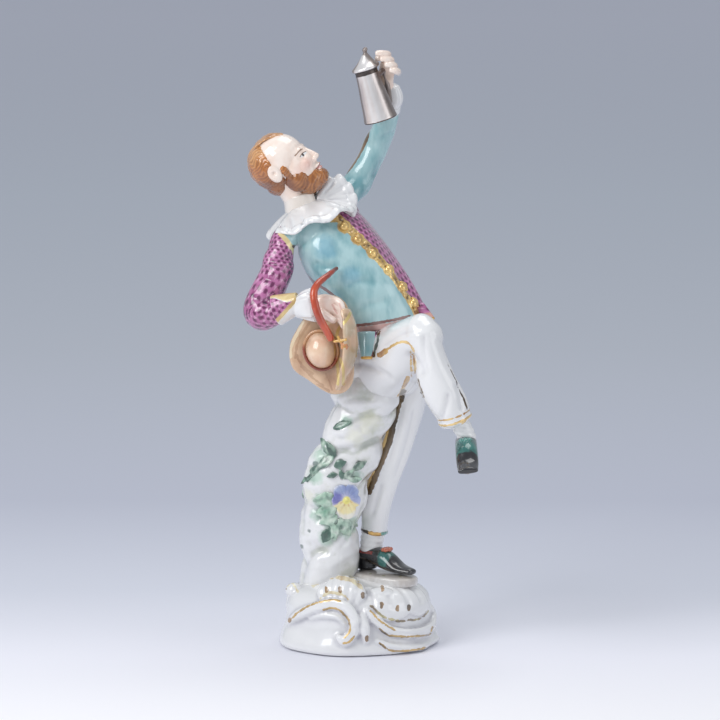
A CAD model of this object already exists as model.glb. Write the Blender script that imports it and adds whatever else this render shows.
import math
import bpy
import numpy as np
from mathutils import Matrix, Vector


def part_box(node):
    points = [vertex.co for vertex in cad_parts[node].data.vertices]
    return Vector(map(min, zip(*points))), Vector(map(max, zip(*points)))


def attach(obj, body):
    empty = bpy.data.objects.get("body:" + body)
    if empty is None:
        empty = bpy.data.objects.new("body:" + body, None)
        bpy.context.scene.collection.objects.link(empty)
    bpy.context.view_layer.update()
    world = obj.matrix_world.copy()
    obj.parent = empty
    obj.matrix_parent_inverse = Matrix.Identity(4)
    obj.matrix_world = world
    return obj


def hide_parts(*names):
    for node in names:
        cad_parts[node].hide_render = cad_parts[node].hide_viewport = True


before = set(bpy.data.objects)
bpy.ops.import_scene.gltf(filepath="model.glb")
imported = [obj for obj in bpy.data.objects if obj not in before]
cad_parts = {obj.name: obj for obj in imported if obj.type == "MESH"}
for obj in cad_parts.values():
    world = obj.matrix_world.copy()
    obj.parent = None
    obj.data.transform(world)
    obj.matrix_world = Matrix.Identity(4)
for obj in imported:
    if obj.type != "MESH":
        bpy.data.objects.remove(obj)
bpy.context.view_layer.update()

# The setting: a pale sweep of paper that darkens towards the back, and soft lights high on
# the left, weaker on the right and above. The camera looks ten degrees down from far off
# through a long lens, and the picture is 240 mm across at the figurine.
underside, finial_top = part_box("figurine")[0][2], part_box("figurine")[1][2]
modelled_height = 199.957
mm = (finial_top - underside) / modelled_height
look_down = math.radians(10)
picture_width = 240 * mm
picture_middle = (1.03 * mm, 94.4 * mm)
camera_distance = 2.4
sensor = 36
toward_camera = np.array([0, -math.cos(look_down), math.sin(look_down)])


def stand(data, place, target, **settings):
    """A camera or a light at a place, turned to its target."""
    for key, value in settings.items():
        setattr(data, key, value)
    made = bpy.data.objects.new(data.name, data)
    made.location = place
    aim = made.location.copy()
    aim[:] = [t - p for t, p in zip(target, place)]
    made.rotation_euler = aim.to_track_quat("-Z", "Y").to_euler()
    bpy.context.collection.objects.link(made)
    return made


middle_x, middle_up = picture_middle
target = (middle_x, 0, middle_up / math.cos(look_down))
eye = [t + camera_distance * d for t, d in zip(target, toward_camera)]
camera = stand(bpy.data.cameras.new("camera"), eye, target,
               lens=sensor * camera_distance / picture_width, sensor_width=sensor, clip_end=20)
bpy.context.scene.camera = camera
bpy.context.scene.view_settings.view_transform = "Standard"
lit = (0, 0, 0.1)
stand(bpy.data.lights.new("window", "AREA"), (-0.6, -0.52, 0.72), lit, energy=5.8, size=0.6)
stand(bpy.data.lights.new("reflector", "AREA"), (0.75, -0.35, 0.3), lit, energy=1.0, size=0.5)
stand(bpy.data.lights.new("top_light", "AREA"), (0.1, 0.2, 0.9), lit, energy=2.0, size=0.5)
sky = bpy.data.worlds.new("sky")
bpy.context.scene.world = sky
sky.use_nodes = True
sky.node_tree.nodes["Background"].inputs["Color"].default_value = (0.88, 0.93, 1, 1)
sky.node_tree.nodes["Background"].inputs["Strength"].default_value = 0.48

floor_half = 4
floor_sheet = bpy.data.meshes.new("floor")
floor_sheet.from_pydata([(-floor_half, -floor_half, underside), (floor_half, -floor_half, underside),
                         (floor_half, floor_half, underside), (-floor_half, floor_half, underside)],
                        [], [(0, 1, 2, 3)])
floor = bpy.data.objects.new("floor", floor_sheet)
bpy.context.collection.objects.link(floor)
floor_paper = bpy.data.materials.new("floor_paper")
floor_paper.use_nodes = True
paper = floor_paper.node_tree
where = paper.nodes.new("ShaderNodeTexCoord")
apart = paper.nodes.new("ShaderNodeSeparateXYZ")
reach = paper.nodes.new("ShaderNodeMapRange")
tones = paper.nodes.new("ShaderNodeValToRGB")
paper.links.new(where.outputs["Object"], apart.inputs[0])
paper.links.new(apart.outputs["Y"], reach.inputs["Value"])
reach.inputs["From Min"].default_value = -0.15
reach.inputs["From Max"].default_value = 1.65
paper.links.new(reach.outputs["Result"], tones.inputs["Fac"])
paper.links.new(tones.outputs["Color"], paper.nodes["Principled BSDF"].inputs["Base Color"])
stops = tones.color_ramp.elements
stops[0].color = (0.96, 0.95, 0.97, 1)
stops[1].color = (0.7, 0.72, 0.82, 1)
for place, tone in ((0.07, (0.84, 0.84, 0.91)), (0.13, (0.65, 0.67, 0.75)), (0.22, (0.52, 0.54, 0.63)),
                    (0.4, (0.55, 0.58, 0.65)), (0.63, (0.62, 0.66, 0.74))):
    stops.new(place).color = (*tone, 1)
paper.nodes["Principled BSDF"].inputs["Roughness"].default_value = 0.7
floor_sheet.materials.append(floor_paper)

# The base is pressed porcelain: a low drum that swells and wanes, with raised rococo
# scrolls, a shell crest that climbs to the stump and a fluted panel on the right. It is
# left white under a clear glaze, and its scrolls are edged in gold and a pale lime wash.
base_width = 53
base_depth = 52
wall_height = 19
mound_rise = 4
wall_taper = 3.4
base_grain = 0.52
skin_depth = 0.00008
gold = (0.72, 0.42, 0.1)


def spline(rows, share):
    """The smooth route through rows of numbers, at shares of its way."""
    rows = np.asarray(rows, float)
    step = np.clip(np.asarray(share, float), 0, 1) * (len(rows) - 1)
    i = np.minimum(step.astype(int), len(rows) - 2)
    f = (step - i)[:, None]
    padded = np.vstack([2 * rows[0] - rows[1], rows, 2 * rows[-1] - rows[-2]])
    a, b, c, d = (padded[i + k] for k in range(4))
    return 0.5 * (2 * b + (c - a) * f + (2 * a - 5 * b + 4 * c - d) * f**2 + (3 * b - a - 3 * c + d) * f**3)


def unit(vectors):
    return vectors / np.maximum(np.linalg.norm(vectors, axis=-1, keepdims=True), 1e-9)


def follow(stations, side, share):
    """A route's middle, tangent, width and depth directions, and half sizes."""
    rows = np.array([list(s) if len(s) == 5 else [*s, s[3]] for s in stations], float)
    at = spline(rows, share)
    step = 1e-3
    tangent = unit(spline(rows, share + step)[:, :3] - spline(rows, share - step)[:, :3])
    wide = unit(np.array(side) - tangent * (tangent @ np.array(side))[:, None])
    return at[:, :3], tangent, wide, np.cross(wide, tangent), at[:, 3:4], at[:, 4:5]


def skinned(rings):
    """A closed form from rings of points, each end closed by a fan."""
    count, around = rings.shape[:2]
    i = np.arange(count - 1)[:, None] * around
    j = np.arange(around)
    k = (j + 1) % around
    faces = np.stack([i + j, i + k, i + around + k, i + around + j], -1).reshape(-1, 4).tolist()
    last = (count - 1) * around
    faces += [(count * around, b, a) for a, b in zip(j, k)]
    faces += [(count * around + 1, last + a, last + b) for a, b in zip(j, k)]
    points = np.vstack([rings.reshape(-1, 3), rings[0].mean(0), rings[-1].mean(0)])
    return points, [tuple(int(v) for v in face) for face in faces]


def bar(stations, side=(0, 1, 0), around=28, along=None, blunt=0.8, relief=None):
    """A round-ended roll through stations [x, y, z, half width, half depth]."""
    along = along or 10 * len(stations)
    cap = np.linspace(-math.pi / 2, 0, 7)[1:-1]
    bend = np.concatenate([cap, np.zeros(along), -cap[::-1]])
    share = np.concatenate([np.zeros(len(cap)), np.linspace(0, 1, along), np.ones(len(cap))])
    middle, tangent, wide, deep, half_wide, half_deep = follow(stations, side, share)
    beyond = np.sin(bend)[:, None] * np.minimum(half_wide, half_deep) * blunt
    middle = middle + tangent * beyond
    angle = np.linspace(0, 2 * math.pi, around, endpoint=False)
    shrink = np.cos(bend)[:, None, None]
    swell = np.ones((len(share), around)) if relief is None else relief(angle[None], share[:, None])
    out = wide[:, None] * (np.cos(angle)[None, :, None] * half_wide[:, None])
    out = out + deep[:, None] * (np.sin(angle)[None, :, None] * half_deep[:, None])
    return skinned(middle[:, None] + out * shrink * swell[..., None])


def turned(outline, around=96, pose=None, rule=None):
    """A turned form about Z from an outline of [radius, height]."""
    angle = np.linspace(0, 2 * math.pi, around, endpoint=False)
    radius, height = np.array(outline, float).T
    radius = np.maximum(radius, 1e-3)[:, None]
    rings = np.stack([radius * np.cos(angle), radius * np.sin(angle),
                      np.repeat(height[:, None], around, 1)], -1)
    if rule:
        rings = rule(rings)
    return skinned(rings if pose is None else placed(pose, rings))


def egg(place, halves, pose=None, rule=None, around=32):
    """An egg with half sizes about a place. A rule reshapes the unit ball first."""
    turn = np.linspace(-math.pi / 2, math.pi / 2, around // 2)
    outline = np.stack([np.cos(turn), np.sin(turn)], 1)

    def rule_of_egg(ball):
        ball = rule(ball) if rule else ball
        return ball * np.array(halves) + np.array(place)

    return turned(outline, around, pose, rule_of_egg)


def stance(place, forward, up, scale=1.0):
    """A pose whose X is forward and Z is up: its axes as rows, and its place."""
    z = unit(np.array(up, float))
    x = unit(np.array(forward, float) - z * np.dot(forward, z))
    return scale * np.array([x, np.cross(z, x), z]), np.array(place, float)


def placed(pose, points):
    axes, place = pose
    return np.asarray(points, float) @ axes + place


def local(pose, points):
    """Where points lie in a pose's own directions."""
    axes, place = pose
    return (points - place) @ np.linalg.inv(axes)


def stepped(values, low, high):
    """Nought below low, one above high and a smooth step between."""
    t = np.clip((values - low) / (high - low), 0, 1)
    return t * t * (3 - 2 * t)


def from_line(points, line):
    """How far points are from a line through places, and the share of its way they are at."""
    line = np.asarray(line, float)
    line = spline(line, np.linspace(0, 1, 8 * (len(line) - 1) + 1)) if len(line) > 2 else line
    start, run = line[:-1], np.diff(line, axis=0)
    best = np.full(len(points), 1e3)
    share = np.zeros(len(points))
    for i, (a, ab) in enumerate(zip(start, run)):
        t = np.clip((points - a) @ ab / (ab @ ab), 0, 1)
        gap = np.linalg.norm(points - a - t[:, None] * ab, axis=1)
        nearer = gap < best
        best[nearer] = gap[nearer]
        share[nearer] = (i + t[nearer]) / len(run)
    return best, share


def rippled(points, size, seed):
    """An even unrest between about -1 and 1, whose waves are about a size long."""
    random = np.random.default_rng(seed)
    waves = unit(random.normal(size=(9, 3))) * random.uniform(0.7, 1.5, (9, 1)) * 2 * math.pi / size
    return np.sin(points @ waves.T + random.uniform(0, 6.3, 9)).sum(1) / 4


def pictured(places):
    """Places in the picture, as right and up in mm, from counts of thirds of a mm from its corner."""
    middle, ground, points_per_mm = 357.5, 643.2, 3
    return [((x - middle) / points_per_mm, (ground - y) / points_per_mm) for x, y in places]


class Clay:
    """Overlapping forms pressed into one lump: its points in millimetres and its square faces."""

    def __init__(self, forms, grain, rounds=4):
        sheet = bpy.data.meshes.new("lump")
        points, faces, count = [], [], 0
        for form_points, form_faces in forms:
            points.append(form_points)
            faces += [tuple(v + count for v in face) for face in form_faces]
            count += len(form_points)
        sheet.from_pydata(np.vstack(points).tolist(), [], faces)
        lump = bpy.data.objects.new("lump", sheet)
        bpy.context.collection.objects.link(lump)
        press = lump.modifiers.new("press", "REMESH")
        press.mode = "VOXEL"
        press.voxel_size = grain
        whole = lump.evaluated_get(bpy.context.evaluated_depsgraph_get()).to_mesh()
        self.points = np.empty(len(whole.vertices) * 3)
        whole.vertices.foreach_get("co", self.points)
        self.points = self.points.reshape(-1, 3)
        self.faces = np.empty(len(whole.loops), int)
        whole.loops.foreach_get("vertex_index", self.faces)
        self.faces = self.faces.reshape(-1, 4)
        self.edges = np.vstack([self.faces[:, [0, 1]], self.faces[:, [1, 2]],
                                self.faces[:, [2, 3]], self.faces[:, [3, 0]]])
        self.valence = np.bincount(self.edges.ravel(), minlength=len(self.points))[:, None]
        bpy.data.objects.remove(lump)
        bpy.data.meshes.remove(sheet)
        self.smooth(rounds)

    def spread(self, values):
        """Each point's mean of its neighbours' values."""
        a, b = self.edges.T
        total = [np.bincount(a, column[b], len(column)) + np.bincount(b, column[a], len(column))
                 for column in values.T]
        return np.stack(total, 1) / self.valence

    def smooth(self, rounds):
        """Rubs the lump smooth. Each second round gives back what the first takes."""
        for _ in range(rounds):
            for pull in (0.5, -0.52):
                self.points = self.points + pull * (self.spread(self.points) - self.points)

    def normals(self):
        p = self.points[self.faces]
        across = np.cross(p[:, 2] - p[:, 0], p[:, 3] - p[:, 1])
        total = np.zeros_like(self.points)
        for corner in range(4):
            for axis in range(3):
                total[:, axis] += np.bincount(self.faces[:, corner], across[:, axis], len(total))
        return unit(total)

    def swell(self, amount):
        self.points = self.points + self.normals() * np.asarray(amount)[:, None]

    def raise_ridge(self, gap, share, width, depth, ends):
        """Raises a ridge, or sinks a groove, where a gap from a line is nought. It fades at its ends."""
        fade = stepped(np.minimum(share, 1 - share), -1e-3, ends)
        self.swell(depth * fade * np.exp(-(gap / width) ** 2))

    def press(self, line, width, depth, ends=0.15):
        """A ridge or groove along a line in space."""
        self.raise_ridge(*from_line(self.points, line), width, depth, ends)

    def seen(self):
        """Where the points show in the picture: right and up, in millimetres."""
        up = self.points[:, 2] * math.cos(look_down) + self.points[:, 1] * math.sin(look_down)
        return np.stack([self.points[:, 0], up], 1)

    def facing(self):
        """How squarely the points face the camera of the picture."""
        return self.normals() @ toward_camera

    def drawn(self, places):
        """How far, in the picture, the points that face it are from a line there, and its share."""
        gap, share = from_line(self.seen(), pictured(places))
        facing = self.facing()
        return np.where(facing > 0, gap, 99) + 9 * np.clip(0.25 - facing, 0, None), share

    def near(self, *drawn_lines):
        """How far, in the picture, the points that face it are from the nearest of some lines."""
        return np.min([self.drawn(places)[0] for places in drawn_lines], axis=0)

    def below(self, places):
        """How far the points that face the picture show under a line drawn in it."""
        right, up = self.seen().T
        below = np.interp(right, *np.array(pictured(places)).T) - up
        return np.where(self.facing() > 0.02, below, -9)

    def blots(self, rows):
        """How far inside round blots [x, y, radius in mm] of the picture the points show."""
        seen, best = self.seen(), np.full(len(self.points), -9.0)
        for (x, y, radius), place in zip(rows, pictured([row[:2] for row in rows])):
            best = np.maximum(best, radius - np.linalg.norm(seen - np.array(place), axis=1))
        return np.where(self.facing() > 0.02, best, -9)

    def carve(self, places, width, depth, ends=0.2):
        """A ridge or groove along a line drawn in the picture, on the side that faces it."""
        self.raise_ridge(*self.drawn(places), width, depth, ends)

    def carve_all(self, folds, width, depth, ends=0.2):
        for places in folds:
            self.carve(places, width, depth, ends)

    def hollows(self, rounds=15):
        """How deep each point lies below its surroundings, for the colour that pools there."""
        soft = self.points
        for _ in range(rounds):
            soft = soft + 0.6 * (self.spread(soft) - soft)
        return ((soft - self.points) * self.normals()).sum(1)

    def fired(self, name, finish, *coats, roughness=0.14, glazing=1.0, **paints):
        """The finished piece: a mesh in metres with its coats, whose places are kept on its points."""
        paints.update({label: values for label, values, _ in coats if label}, hollow=self.hollows())
        mesh = bpy.data.meshes.new(name)
        mesh.from_pydata((self.points * mm).tolist(), [], self.faces.tolist())
        mesh.shade_smooth()
        for label, values in paints.items():
            kept = mesh.attributes.new(label, "FLOAT", "POINT")
            kept.data.foreach_set("value", np.asarray(values, np.float32))
        mesh.materials.append(glazed(finish, [coat for *_, coat in coats], roughness, glazing))
        piece = bpy.data.objects.new(name, mesh)
        bpy.context.collection.objects.link(piece)
        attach(piece, "root")
        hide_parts("figurine")


def node(tree, kind, inputs=None, **settings):
    """A shader node with its settings. Its inputs are linked or set by name or number."""
    made = tree.nodes.new("ShaderNode" + kind)
    for key, value in settings.items():
        setattr(made, key, value)
    for key, value in (inputs or {}).items():
        if isinstance(value, bpy.types.NodeSocket):
            tree.links.new(value, made.inputs[key])
        else:
            made.inputs[key].default_value = value
    return made


def calc(tree, operation, *values, clamp=False):
    return node(tree, "Math", dict(enumerate(values)), operation=operation, use_clamp=clamp).outputs[0]


def blended(tree, share, under, over):
    made = node(tree, "Mix", {0: share, 6: under, 7: over}, data_type="RGBA")
    return made.outputs[2]


def effect(name, inputs, outputs):
    """An empty node group with named sockets. It gives the group and its two end nodes."""
    tree = bpy.data.node_groups.new(name, "ShaderNodeTree")
    for side, sockets in (("INPUT", inputs), ("OUTPUT", outputs)):
        for label, value in sockets.items():
            kind = "NodeSocketColor" if isinstance(value, tuple) else "NodeSocketFloat"
            socket = tree.interface.new_socket(name=label, in_out=side, socket_type=kind)
            socket.default_value = value
    return tree, tree.nodes.new("NodeGroupInput"), tree.nodes.new("NodeGroupOutput")


def noise(tree, scale, detail=2.0, stretch=(1, 1, 1)):
    where = node(tree, "TexCoord").outputs["Object"]
    turned_to = node(tree, "Mapping", {"Vector": where, "Scale": stretch}).outputs[0]
    return node(tree, "TexNoise", {"Vector": turned_to, "Scale": scale, "Detail": detail}).outputs["Fac"]


# White body under its glaze: faintly grey where glaze pools, with a barely uneven skin.
glaze, glaze_in, glaze_out = effect("fired_glaze", {"Hollow": 0.0, "White": (0.84, 0.84, 0.84, 1.0),
                                                    "Pool": (0.42, 0.41, 0.47, 1.0)},
                                    {"Colour": (0.0, 0.0, 0.0, 1.0), "Height": 0.0})
pooled = calc(glaze, "MULTIPLY", glaze_in.outputs["Hollow"], 1.6, clamp=True)
cloud = calc(glaze, "MULTIPLY", noise(glaze, 60), 0.14)
pooled = calc(glaze, "ADD", pooled, cloud, clamp=True)
tone = blended(glaze, pooled, glaze_in.outputs["White"], glaze_in.outputs["Pool"])
glaze.links.new(tone, glaze_out.inputs["Colour"])
waver = calc(glaze, "ADD", noise(glaze, 210), calc(glaze, "MULTIPLY", noise(glaze, 900), 0.12))
glaze.links.new(waver, glaze_out.inputs["Height"])

# Enamel laid on with a soft brush: two tones in streaks, thin where the brush lifted.
enamel, enamel_in, enamel_out = effect("brushed_enamel", {"Light": (1.0, 1.0, 1.0, 1.0),
                                                          "Dark": (0.5, 0.5, 0.5, 1.0), "Hollow": 0.0},
                                       {"Colour": (0.0, 0.0, 0.0, 1.0)})
streak = noise(enamel, 260, 3, (1, 1, 0.28))
patch = noise(enamel, 75, 2)
brushed = calc(enamel, "ADD", calc(enamel, "MULTIPLY", streak, 2.2), calc(enamel, "MULTIPLY", patch, 2.4))
brushed = calc(enamel, "SUBTRACT", brushed, 1.85)
brushed = calc(enamel, "ADD", brushed, enamel_in.outputs["Hollow"], clamp=True)
enamel.links.new(blended(enamel, brushed, enamel_in.outputs["Light"], enamel_in.outputs["Dark"]),
                 enamel_out.inputs["Colour"])

# The edge of a painted area or line, which the brush makes waver a little.
stroke, stroke_in, stroke_out = effect("brush_edge", {"Inside": 0.0, "Soft": 0.08, "Waver": 0.15},
                                       {"Mask": 0.0})
shaky = calc(stroke, "MULTIPLY", calc(stroke, "SUBTRACT", noise(stroke, 700, 2), 0.5),
             stroke_in.outputs["Waver"])
shaky = calc(stroke, "ADD", stroke_in.outputs["Inside"], calc(stroke, "MULTIPLY", shaky, 2.0))
sharp = calc(stroke, "DIVIDE", shaky, stroke_in.outputs["Soft"])
stroke.links.new(calc(stroke, "ADD", sharp, 0.5, clamp=True), stroke_out.inputs["Mask"])


def reading(tree, name):
    return node(tree, "Attribute", attribute_name=name).outputs["Fac"]


def edge(tree, inside, waver=0.15, soft=0.08):
    made = node(tree, "Group", node_tree=stroke)
    tree.links.new(inside, made.inputs["Inside"])
    made.inputs["Waver"].default_value = waver
    made.inputs["Soft"].default_value = soft
    return made.outputs["Mask"]


def brush(tree, light, dark):
    made = node(tree, "Group", node_tree=enamel)
    made.inputs["Light"].default_value = (*light, 1)
    made.inputs["Dark"].default_value = (*dark, 1)
    tree.links.new(calc(tree, "MULTIPLY", reading(tree, "hollow"), 1.5), made.inputs["Hollow"])
    return made.outputs["Colour"]


def area(label, values, light, dark, waver=0.15, soft=0.08, strength=1.0):
    """A coat of enamel over the places where its values on the points are above nought."""
    def coat(tree):
        mask = edge(tree, reading(tree, label), waver, soft)
        return calc(tree, "MULTIPLY", mask, strength), brush(tree, light, dark), 0
    return label, values, coat


def line(label, gap, width, light, dark=None, metal=0.0, waver=0.12, strength=1.0):
    """A painted line, where the points' gap from it is under half its width."""
    dark = dark or tuple(0.45 * c for c in light)

    def coat(tree):
        inside = calc(tree, "SUBTRACT", width / 2, reading(tree, label))
        mask = calc(tree, "MULTIPLY", edge(tree, inside, waver), strength)
        return mask, brush(tree, light, dark), metal
    return label, gap, coat


def wash(light, dark, metal=0.0):
    """A coat all over."""
    return None, None, lambda tree: (1.0, brush(tree, light, dark), metal)


def glazed(name, coats, roughness, glazing):
    """Porcelain under a clear glaze, with coats of enamel and gold fired on."""
    finish = bpy.data.materials.new(name)
    finish.use_nodes = True
    tree = finish.node_tree
    tree.nodes.clear()
    body = node(tree, "Group", node_tree=glaze)
    tree.links.new(reading(tree, "hollow"), body.inputs["Hollow"])
    colour, metal = body.outputs["Colour"], 0.0
    for enamel_coat in coats:
        mask, tone, shine = enamel_coat(tree)
        colour = blended(tree, mask, colour, tone)
        if shine:
            metal = calc(tree, "MAXIMUM", metal, calc(tree, "MULTIPLY", mask, shine))
    skin = node(tree, "Bump", {"Height": body.outputs["Height"], "Strength": 1.0, "Distance": skin_depth})
    shader = node(tree, "BsdfPrincipled", {
        "Base Color": colour, "Metallic": metal, "Roughness": roughness + 0.12, "Coat Weight": glazing,
        "Coat Roughness": 0.05, "Normal": skin.outputs[0]})
    out = node(tree, "OutputMaterial")
    tree.links.new(shader.outputs[0], out.inputs[0])
    return finish


taper_share = 2 * wall_taper / base_width
wall_outline = np.array([
    [0.93, 0], [1, 0.6], [1, wall_height * 0.14], [1 - taper_share * 0.6, wall_height * 0.44],
    [1 - taper_share * 0.8, wall_height * 0.8], [1 - taper_share * 1.6, wall_height],
    [0.58, wall_height + mound_rise * 0.6], [0.02, wall_height + mound_rise],
])


def lobe(angle):
    """How far the base's plan swells at an angle."""
    return 1 + 0.022 * np.cos(3 * angle + 0.6) + 0.012 * np.cos(7 * angle)


def on_wall(degrees, rise, out=0.0):
    """A place on the wall: degrees from the front, a share of its height and a stand-off."""
    angle = math.radians(degrees - 90)
    height = rise * wall_height
    width = np.interp(height, wall_outline[1:, 1], wall_outline[1:, 0]) * lobe(angle)
    return [math.cos(angle) * (width * base_width / 2 + out),
            math.sin(angle) * (width * base_depth / 2 + out), height]


def wall_scroll(places, width):
    """A raised band along the wall, thinner at its ends."""
    stations = []
    for i, (degrees, rise, out) in enumerate(places):
        half = width / 2 * (0.6 if i in (0, len(places) - 1) else 1)
        stations.append([*on_wall(degrees, rise, out), half, half * 0.8])
    return bar(stations, side=(0, 0, 1), around=20, blunt=0.9)


def wall_rule(rings):
    angle = np.arctan2(rings[..., 1], rings[..., 0])
    swell = lobe(angle)
    return rings * np.stack([swell * base_width / 2, swell * base_depth / 2, np.ones_like(swell)], -1)


great_scroll = [[-66, 0.46, 0.2], [-50, 0.66, 0.8], [-33, 0.84, 1.2], [-18, 0.92, 1.4], [-7, 0.86, 1.4],
                [-2, 0.66, 1.4], [-3, 0.44, 1.4], [-9, 0.3, 1.2], [-14, 0.36, 0.7]]
right_band = [[8, 0.82, 0.6], [17, 0.6, 1], [30, 0.42, 1], [50, 0.34, 0.9], [74, 0.36, 0.8], [88, 0.5, 0.4],
              [84, 0.64, 0.2]]
low_band = [[16, 0.28, 0.5], [30, 0.15, 0.5], [52, 0.08, 0.5], [82, 0.1, 0.3]]
upper_panel = [[-40, 0.62, 0.3], [-28, 0.7, 0.5], [-16, 0.7, 0.6], [-9, 0.58, 0.5]]


def back_scroll(degrees):
    """A C-scroll on the plainer sides: an arc whose ends curl in."""
    turn = np.linspace(-1, 1, 7)
    curl = 1 - 0.4 * np.abs(turn) ** 3
    angle = math.pi / 2 + 2.3 * turn
    return np.stack([degrees + 21 * curl * np.cos(angle), 0.5 + 0.36 * curl * np.sin(angle),
                     np.full(7, 0.4)], 1).tolist()


back_scrolls = [back_scroll(degrees) for degrees in (128, 180, 232)]
fine_wall = spline(wall_outline[1:-1], np.linspace(0, 1, 40))
base_forms = [turned(np.vstack([wall_outline[:1], fine_wall, wall_outline[-1:]]), 180, rule=wall_rule)]
base_forms += [wall_scroll(great_scroll, 3.7), wall_scroll(right_band, 3.1), wall_scroll(low_band, 2.2),
               wall_scroll(upper_panel, 1.6)]
base_forms += [wall_scroll(places, 2.4) for places in back_scrolls]
base_forms.append(egg(on_wall(-78, 0.97, 0.2), [3, 3, 2.6]))
base_forms.append(egg(on_wall(26, 1.02, -1.8), [3.6, 2.2, 2.6]))
base_forms.append(bar([[*on_wall(4, 0.74, 0.4), 0.9], [*on_wall(6, 0.5, 0.9), 1.9],
                       [*on_wall(7, 0.28, 0.6), 0.8]], side=(1, 0, 0)))
shell_ribs = np.linspace(-2, 2, 6)
for rib in shell_ribs:
    x, y, z = on_wall(-15 + 9 * rib, 1, -0.4)
    climb = mound_rise * (1.5 - 0.17 * rib * rib)
    base_forms.append(bar([[*on_wall(-15 + 7 * rib, 0.92, 0), 1.2], [x, y, z + climb * 0.45, 1.9],
                           [x * 0.86, y * 0.86, z + climb, 1.5]], side=(1, 0, 0), around=16))
base = Clay(base_forms, base_grain, 3)


def wall_line(places, lower=0.0):
    """The middle line of a scroll, moved down the wall by a share of its height."""
    return [on_wall(degrees, rise - lower, out + 1) for degrees, rise, out in places]


for groove in (great_scroll, right_band, *back_scrolls):
    base.press(wall_line(groove), 0.5, -0.45)
height = base.points[:, 2]
around_wall = np.degrees(np.arctan2(base.points[:, 1] / base_depth, base.points[:, 0] / base_width)) + 90
around_wall = np.where(around_wall > 180, around_wall - 360, around_wall)
apron_start, apron_end = 14, 76
apron_edge = wall_height * (0.7 - 0.1 * np.abs(np.sin(np.radians(around_wall - apron_start) * 5.6)))
in_apron = stepped(around_wall, apron_start, apron_start + 3)
in_apron = in_apron * (1 - stepped(around_wall, apron_end - 4, apron_end))
under_mound = 1 - stepped(height, 20, 22)
base.swell(0.75 * in_apron * stepped(height, apron_edge - 0.25, apron_edge + 0.25) * under_mound)
flutes = np.cos(np.radians(around_wall - apron_start) * 11.2 * 2)
base.swell(-0.35 * in_apron * stepped(height, 14.5, 16) * under_mound * np.clip(flutes, 0, 1))
flat = base.points[:, 2] < 0.5
base.points[:, 2] = np.where(flat, np.maximum(base.points[:, 2], 0), base.points[:, 2])
unrest = 0.1 * unit(base.points * [1, 1, 0]) * rippled(base.points, 9, 1)[:, None]
base.points = base.points + unrest * ~flat[:, None]

# The gilding: fine lines along the scrolls, a broad pale one on the shells' rims, a lime
# one under the fluted apron, and short brush marks in the flutes.
front_lines = [
    [(290, 621), (299, 612), (308, 606), (319, 601.5), (333, 599), (341, 600)],
    [(324, 609), (333, 607), (341, 610), (349, 619), (350.5, 629), (345, 637)],
    [(344, 642), (350, 640.5), (355, 635)], [(371, 610), (382, 621), (396, 629.5)],
    [(380, 628), (388, 634), (397, 635.5), (413, 636), (430, 635), (433, 628)],
    [(380, 642), (388, 648), (394, 650), (411, 650), (427, 648)]]
base.carve_all(front_lines, 0.35, 0.22)
back_gap = np.min([from_line(base.points, wall_line(scroll, 0.05))[0] for scroll in back_scrolls], axis=0)
gilt_gap = np.minimum(np.where(np.abs(around_wall) > 96, back_gap, 9), base.near(*front_lines))
shell_rims = np.minimum(base.near([(314, 586), (322, 580), (335, 576), (351, 579), (362, 587)]),
                        base.near([(322, 597), (330, 592), (341, 593), (349, 598)],
                                  [(286, 588), (292, 583), (298, 592)]) + 0.3)
scallop = base.near([(371.5, 605), (380, 613), (386, 617), (392.5, 618.6), (400, 621), (407.7, 620),
                     (415, 620), (421.7, 618), (428.7, 612)])
brush_marks = base.near(*([(x, y - 1.5), (x, y + 1.5)] for x, y in (
    (327.2, 589), (340.6, 589), (363.3, 594.7), (382, 604.5), (398, 607.5), (409.4, 607.5),
    (285.5, 587.5), (289.8, 620.3), (367.4, 637.3), (383, 588))))
base.fired(
    "scrolled_base", "gilded_white_base",
    line("rim", shell_rims, 1.5, (0.88, 0.8, 0.5), (0.5, 0.34, 0.12), strength=0.75, waver=0.9),
    line("apron", scallop, 0.8, (0.76, 0.68, 0.3), (0.16, 0.1, 0.03), strength=0.85, waver=0.6),
    line("gilt", gilt_gap, 0.7, (0.68, 0.44, 0.14), (0.05, 0.025, 0.012), metal=0.15, strength=0.95,
         waver=0.4),
    line("marks", brush_marks, 1.2, (0.36, 0.2, 0.06), (0.08, 0.045, 0.02), waver=0.4, strength=0.9))

# The stump is a separate press-moulded trunk luted to the mound: slanting lumps of trunk
# with deep grooves between them, which reach up to the dancer's seat. It is white, with
# thin straw and green washes and a few dark green touches.
stump_thickness = 21
stump_grain = 0.46
stump_half = stump_thickness / 2
stump_stations = [[x, y, z, wide * stump_half, deep * stump_half] for x, y, z, wide, deep in (
    (-9.5, 0, 17, 0.93, 0.85), (-9.2, 0, 29, 0.9, 0.82), (-8.5, 0, 41, 0.97, 0.86), (-7, -1, 53, 1.04, 0.9),
    (-3.5, -1.5, 64, 1, 0.86), (0, -1.5, 74, 0.98, 0.86), (2.4, -1, 82, 1.08, 0.92), (3, 0, 89, 1.04, 0.92))]


def stump_relief(angle, share):
    """Lumps pile up the trunk on a slant, and a groove runs between each and the next."""
    climb = 4.8 * share - 0.3 * np.cos(angle) + 0.1 * np.cos(2 * angle + 5 * share)
    climb = climb + 0.07 * np.cos(5 * angle - 11 * share)
    lump = np.abs(np.sin(math.pi * climb)) ** 0.8
    return 0.84 + 0.2 * lump + 0.035 * np.cos(3 * angle + 9 * share)


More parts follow.
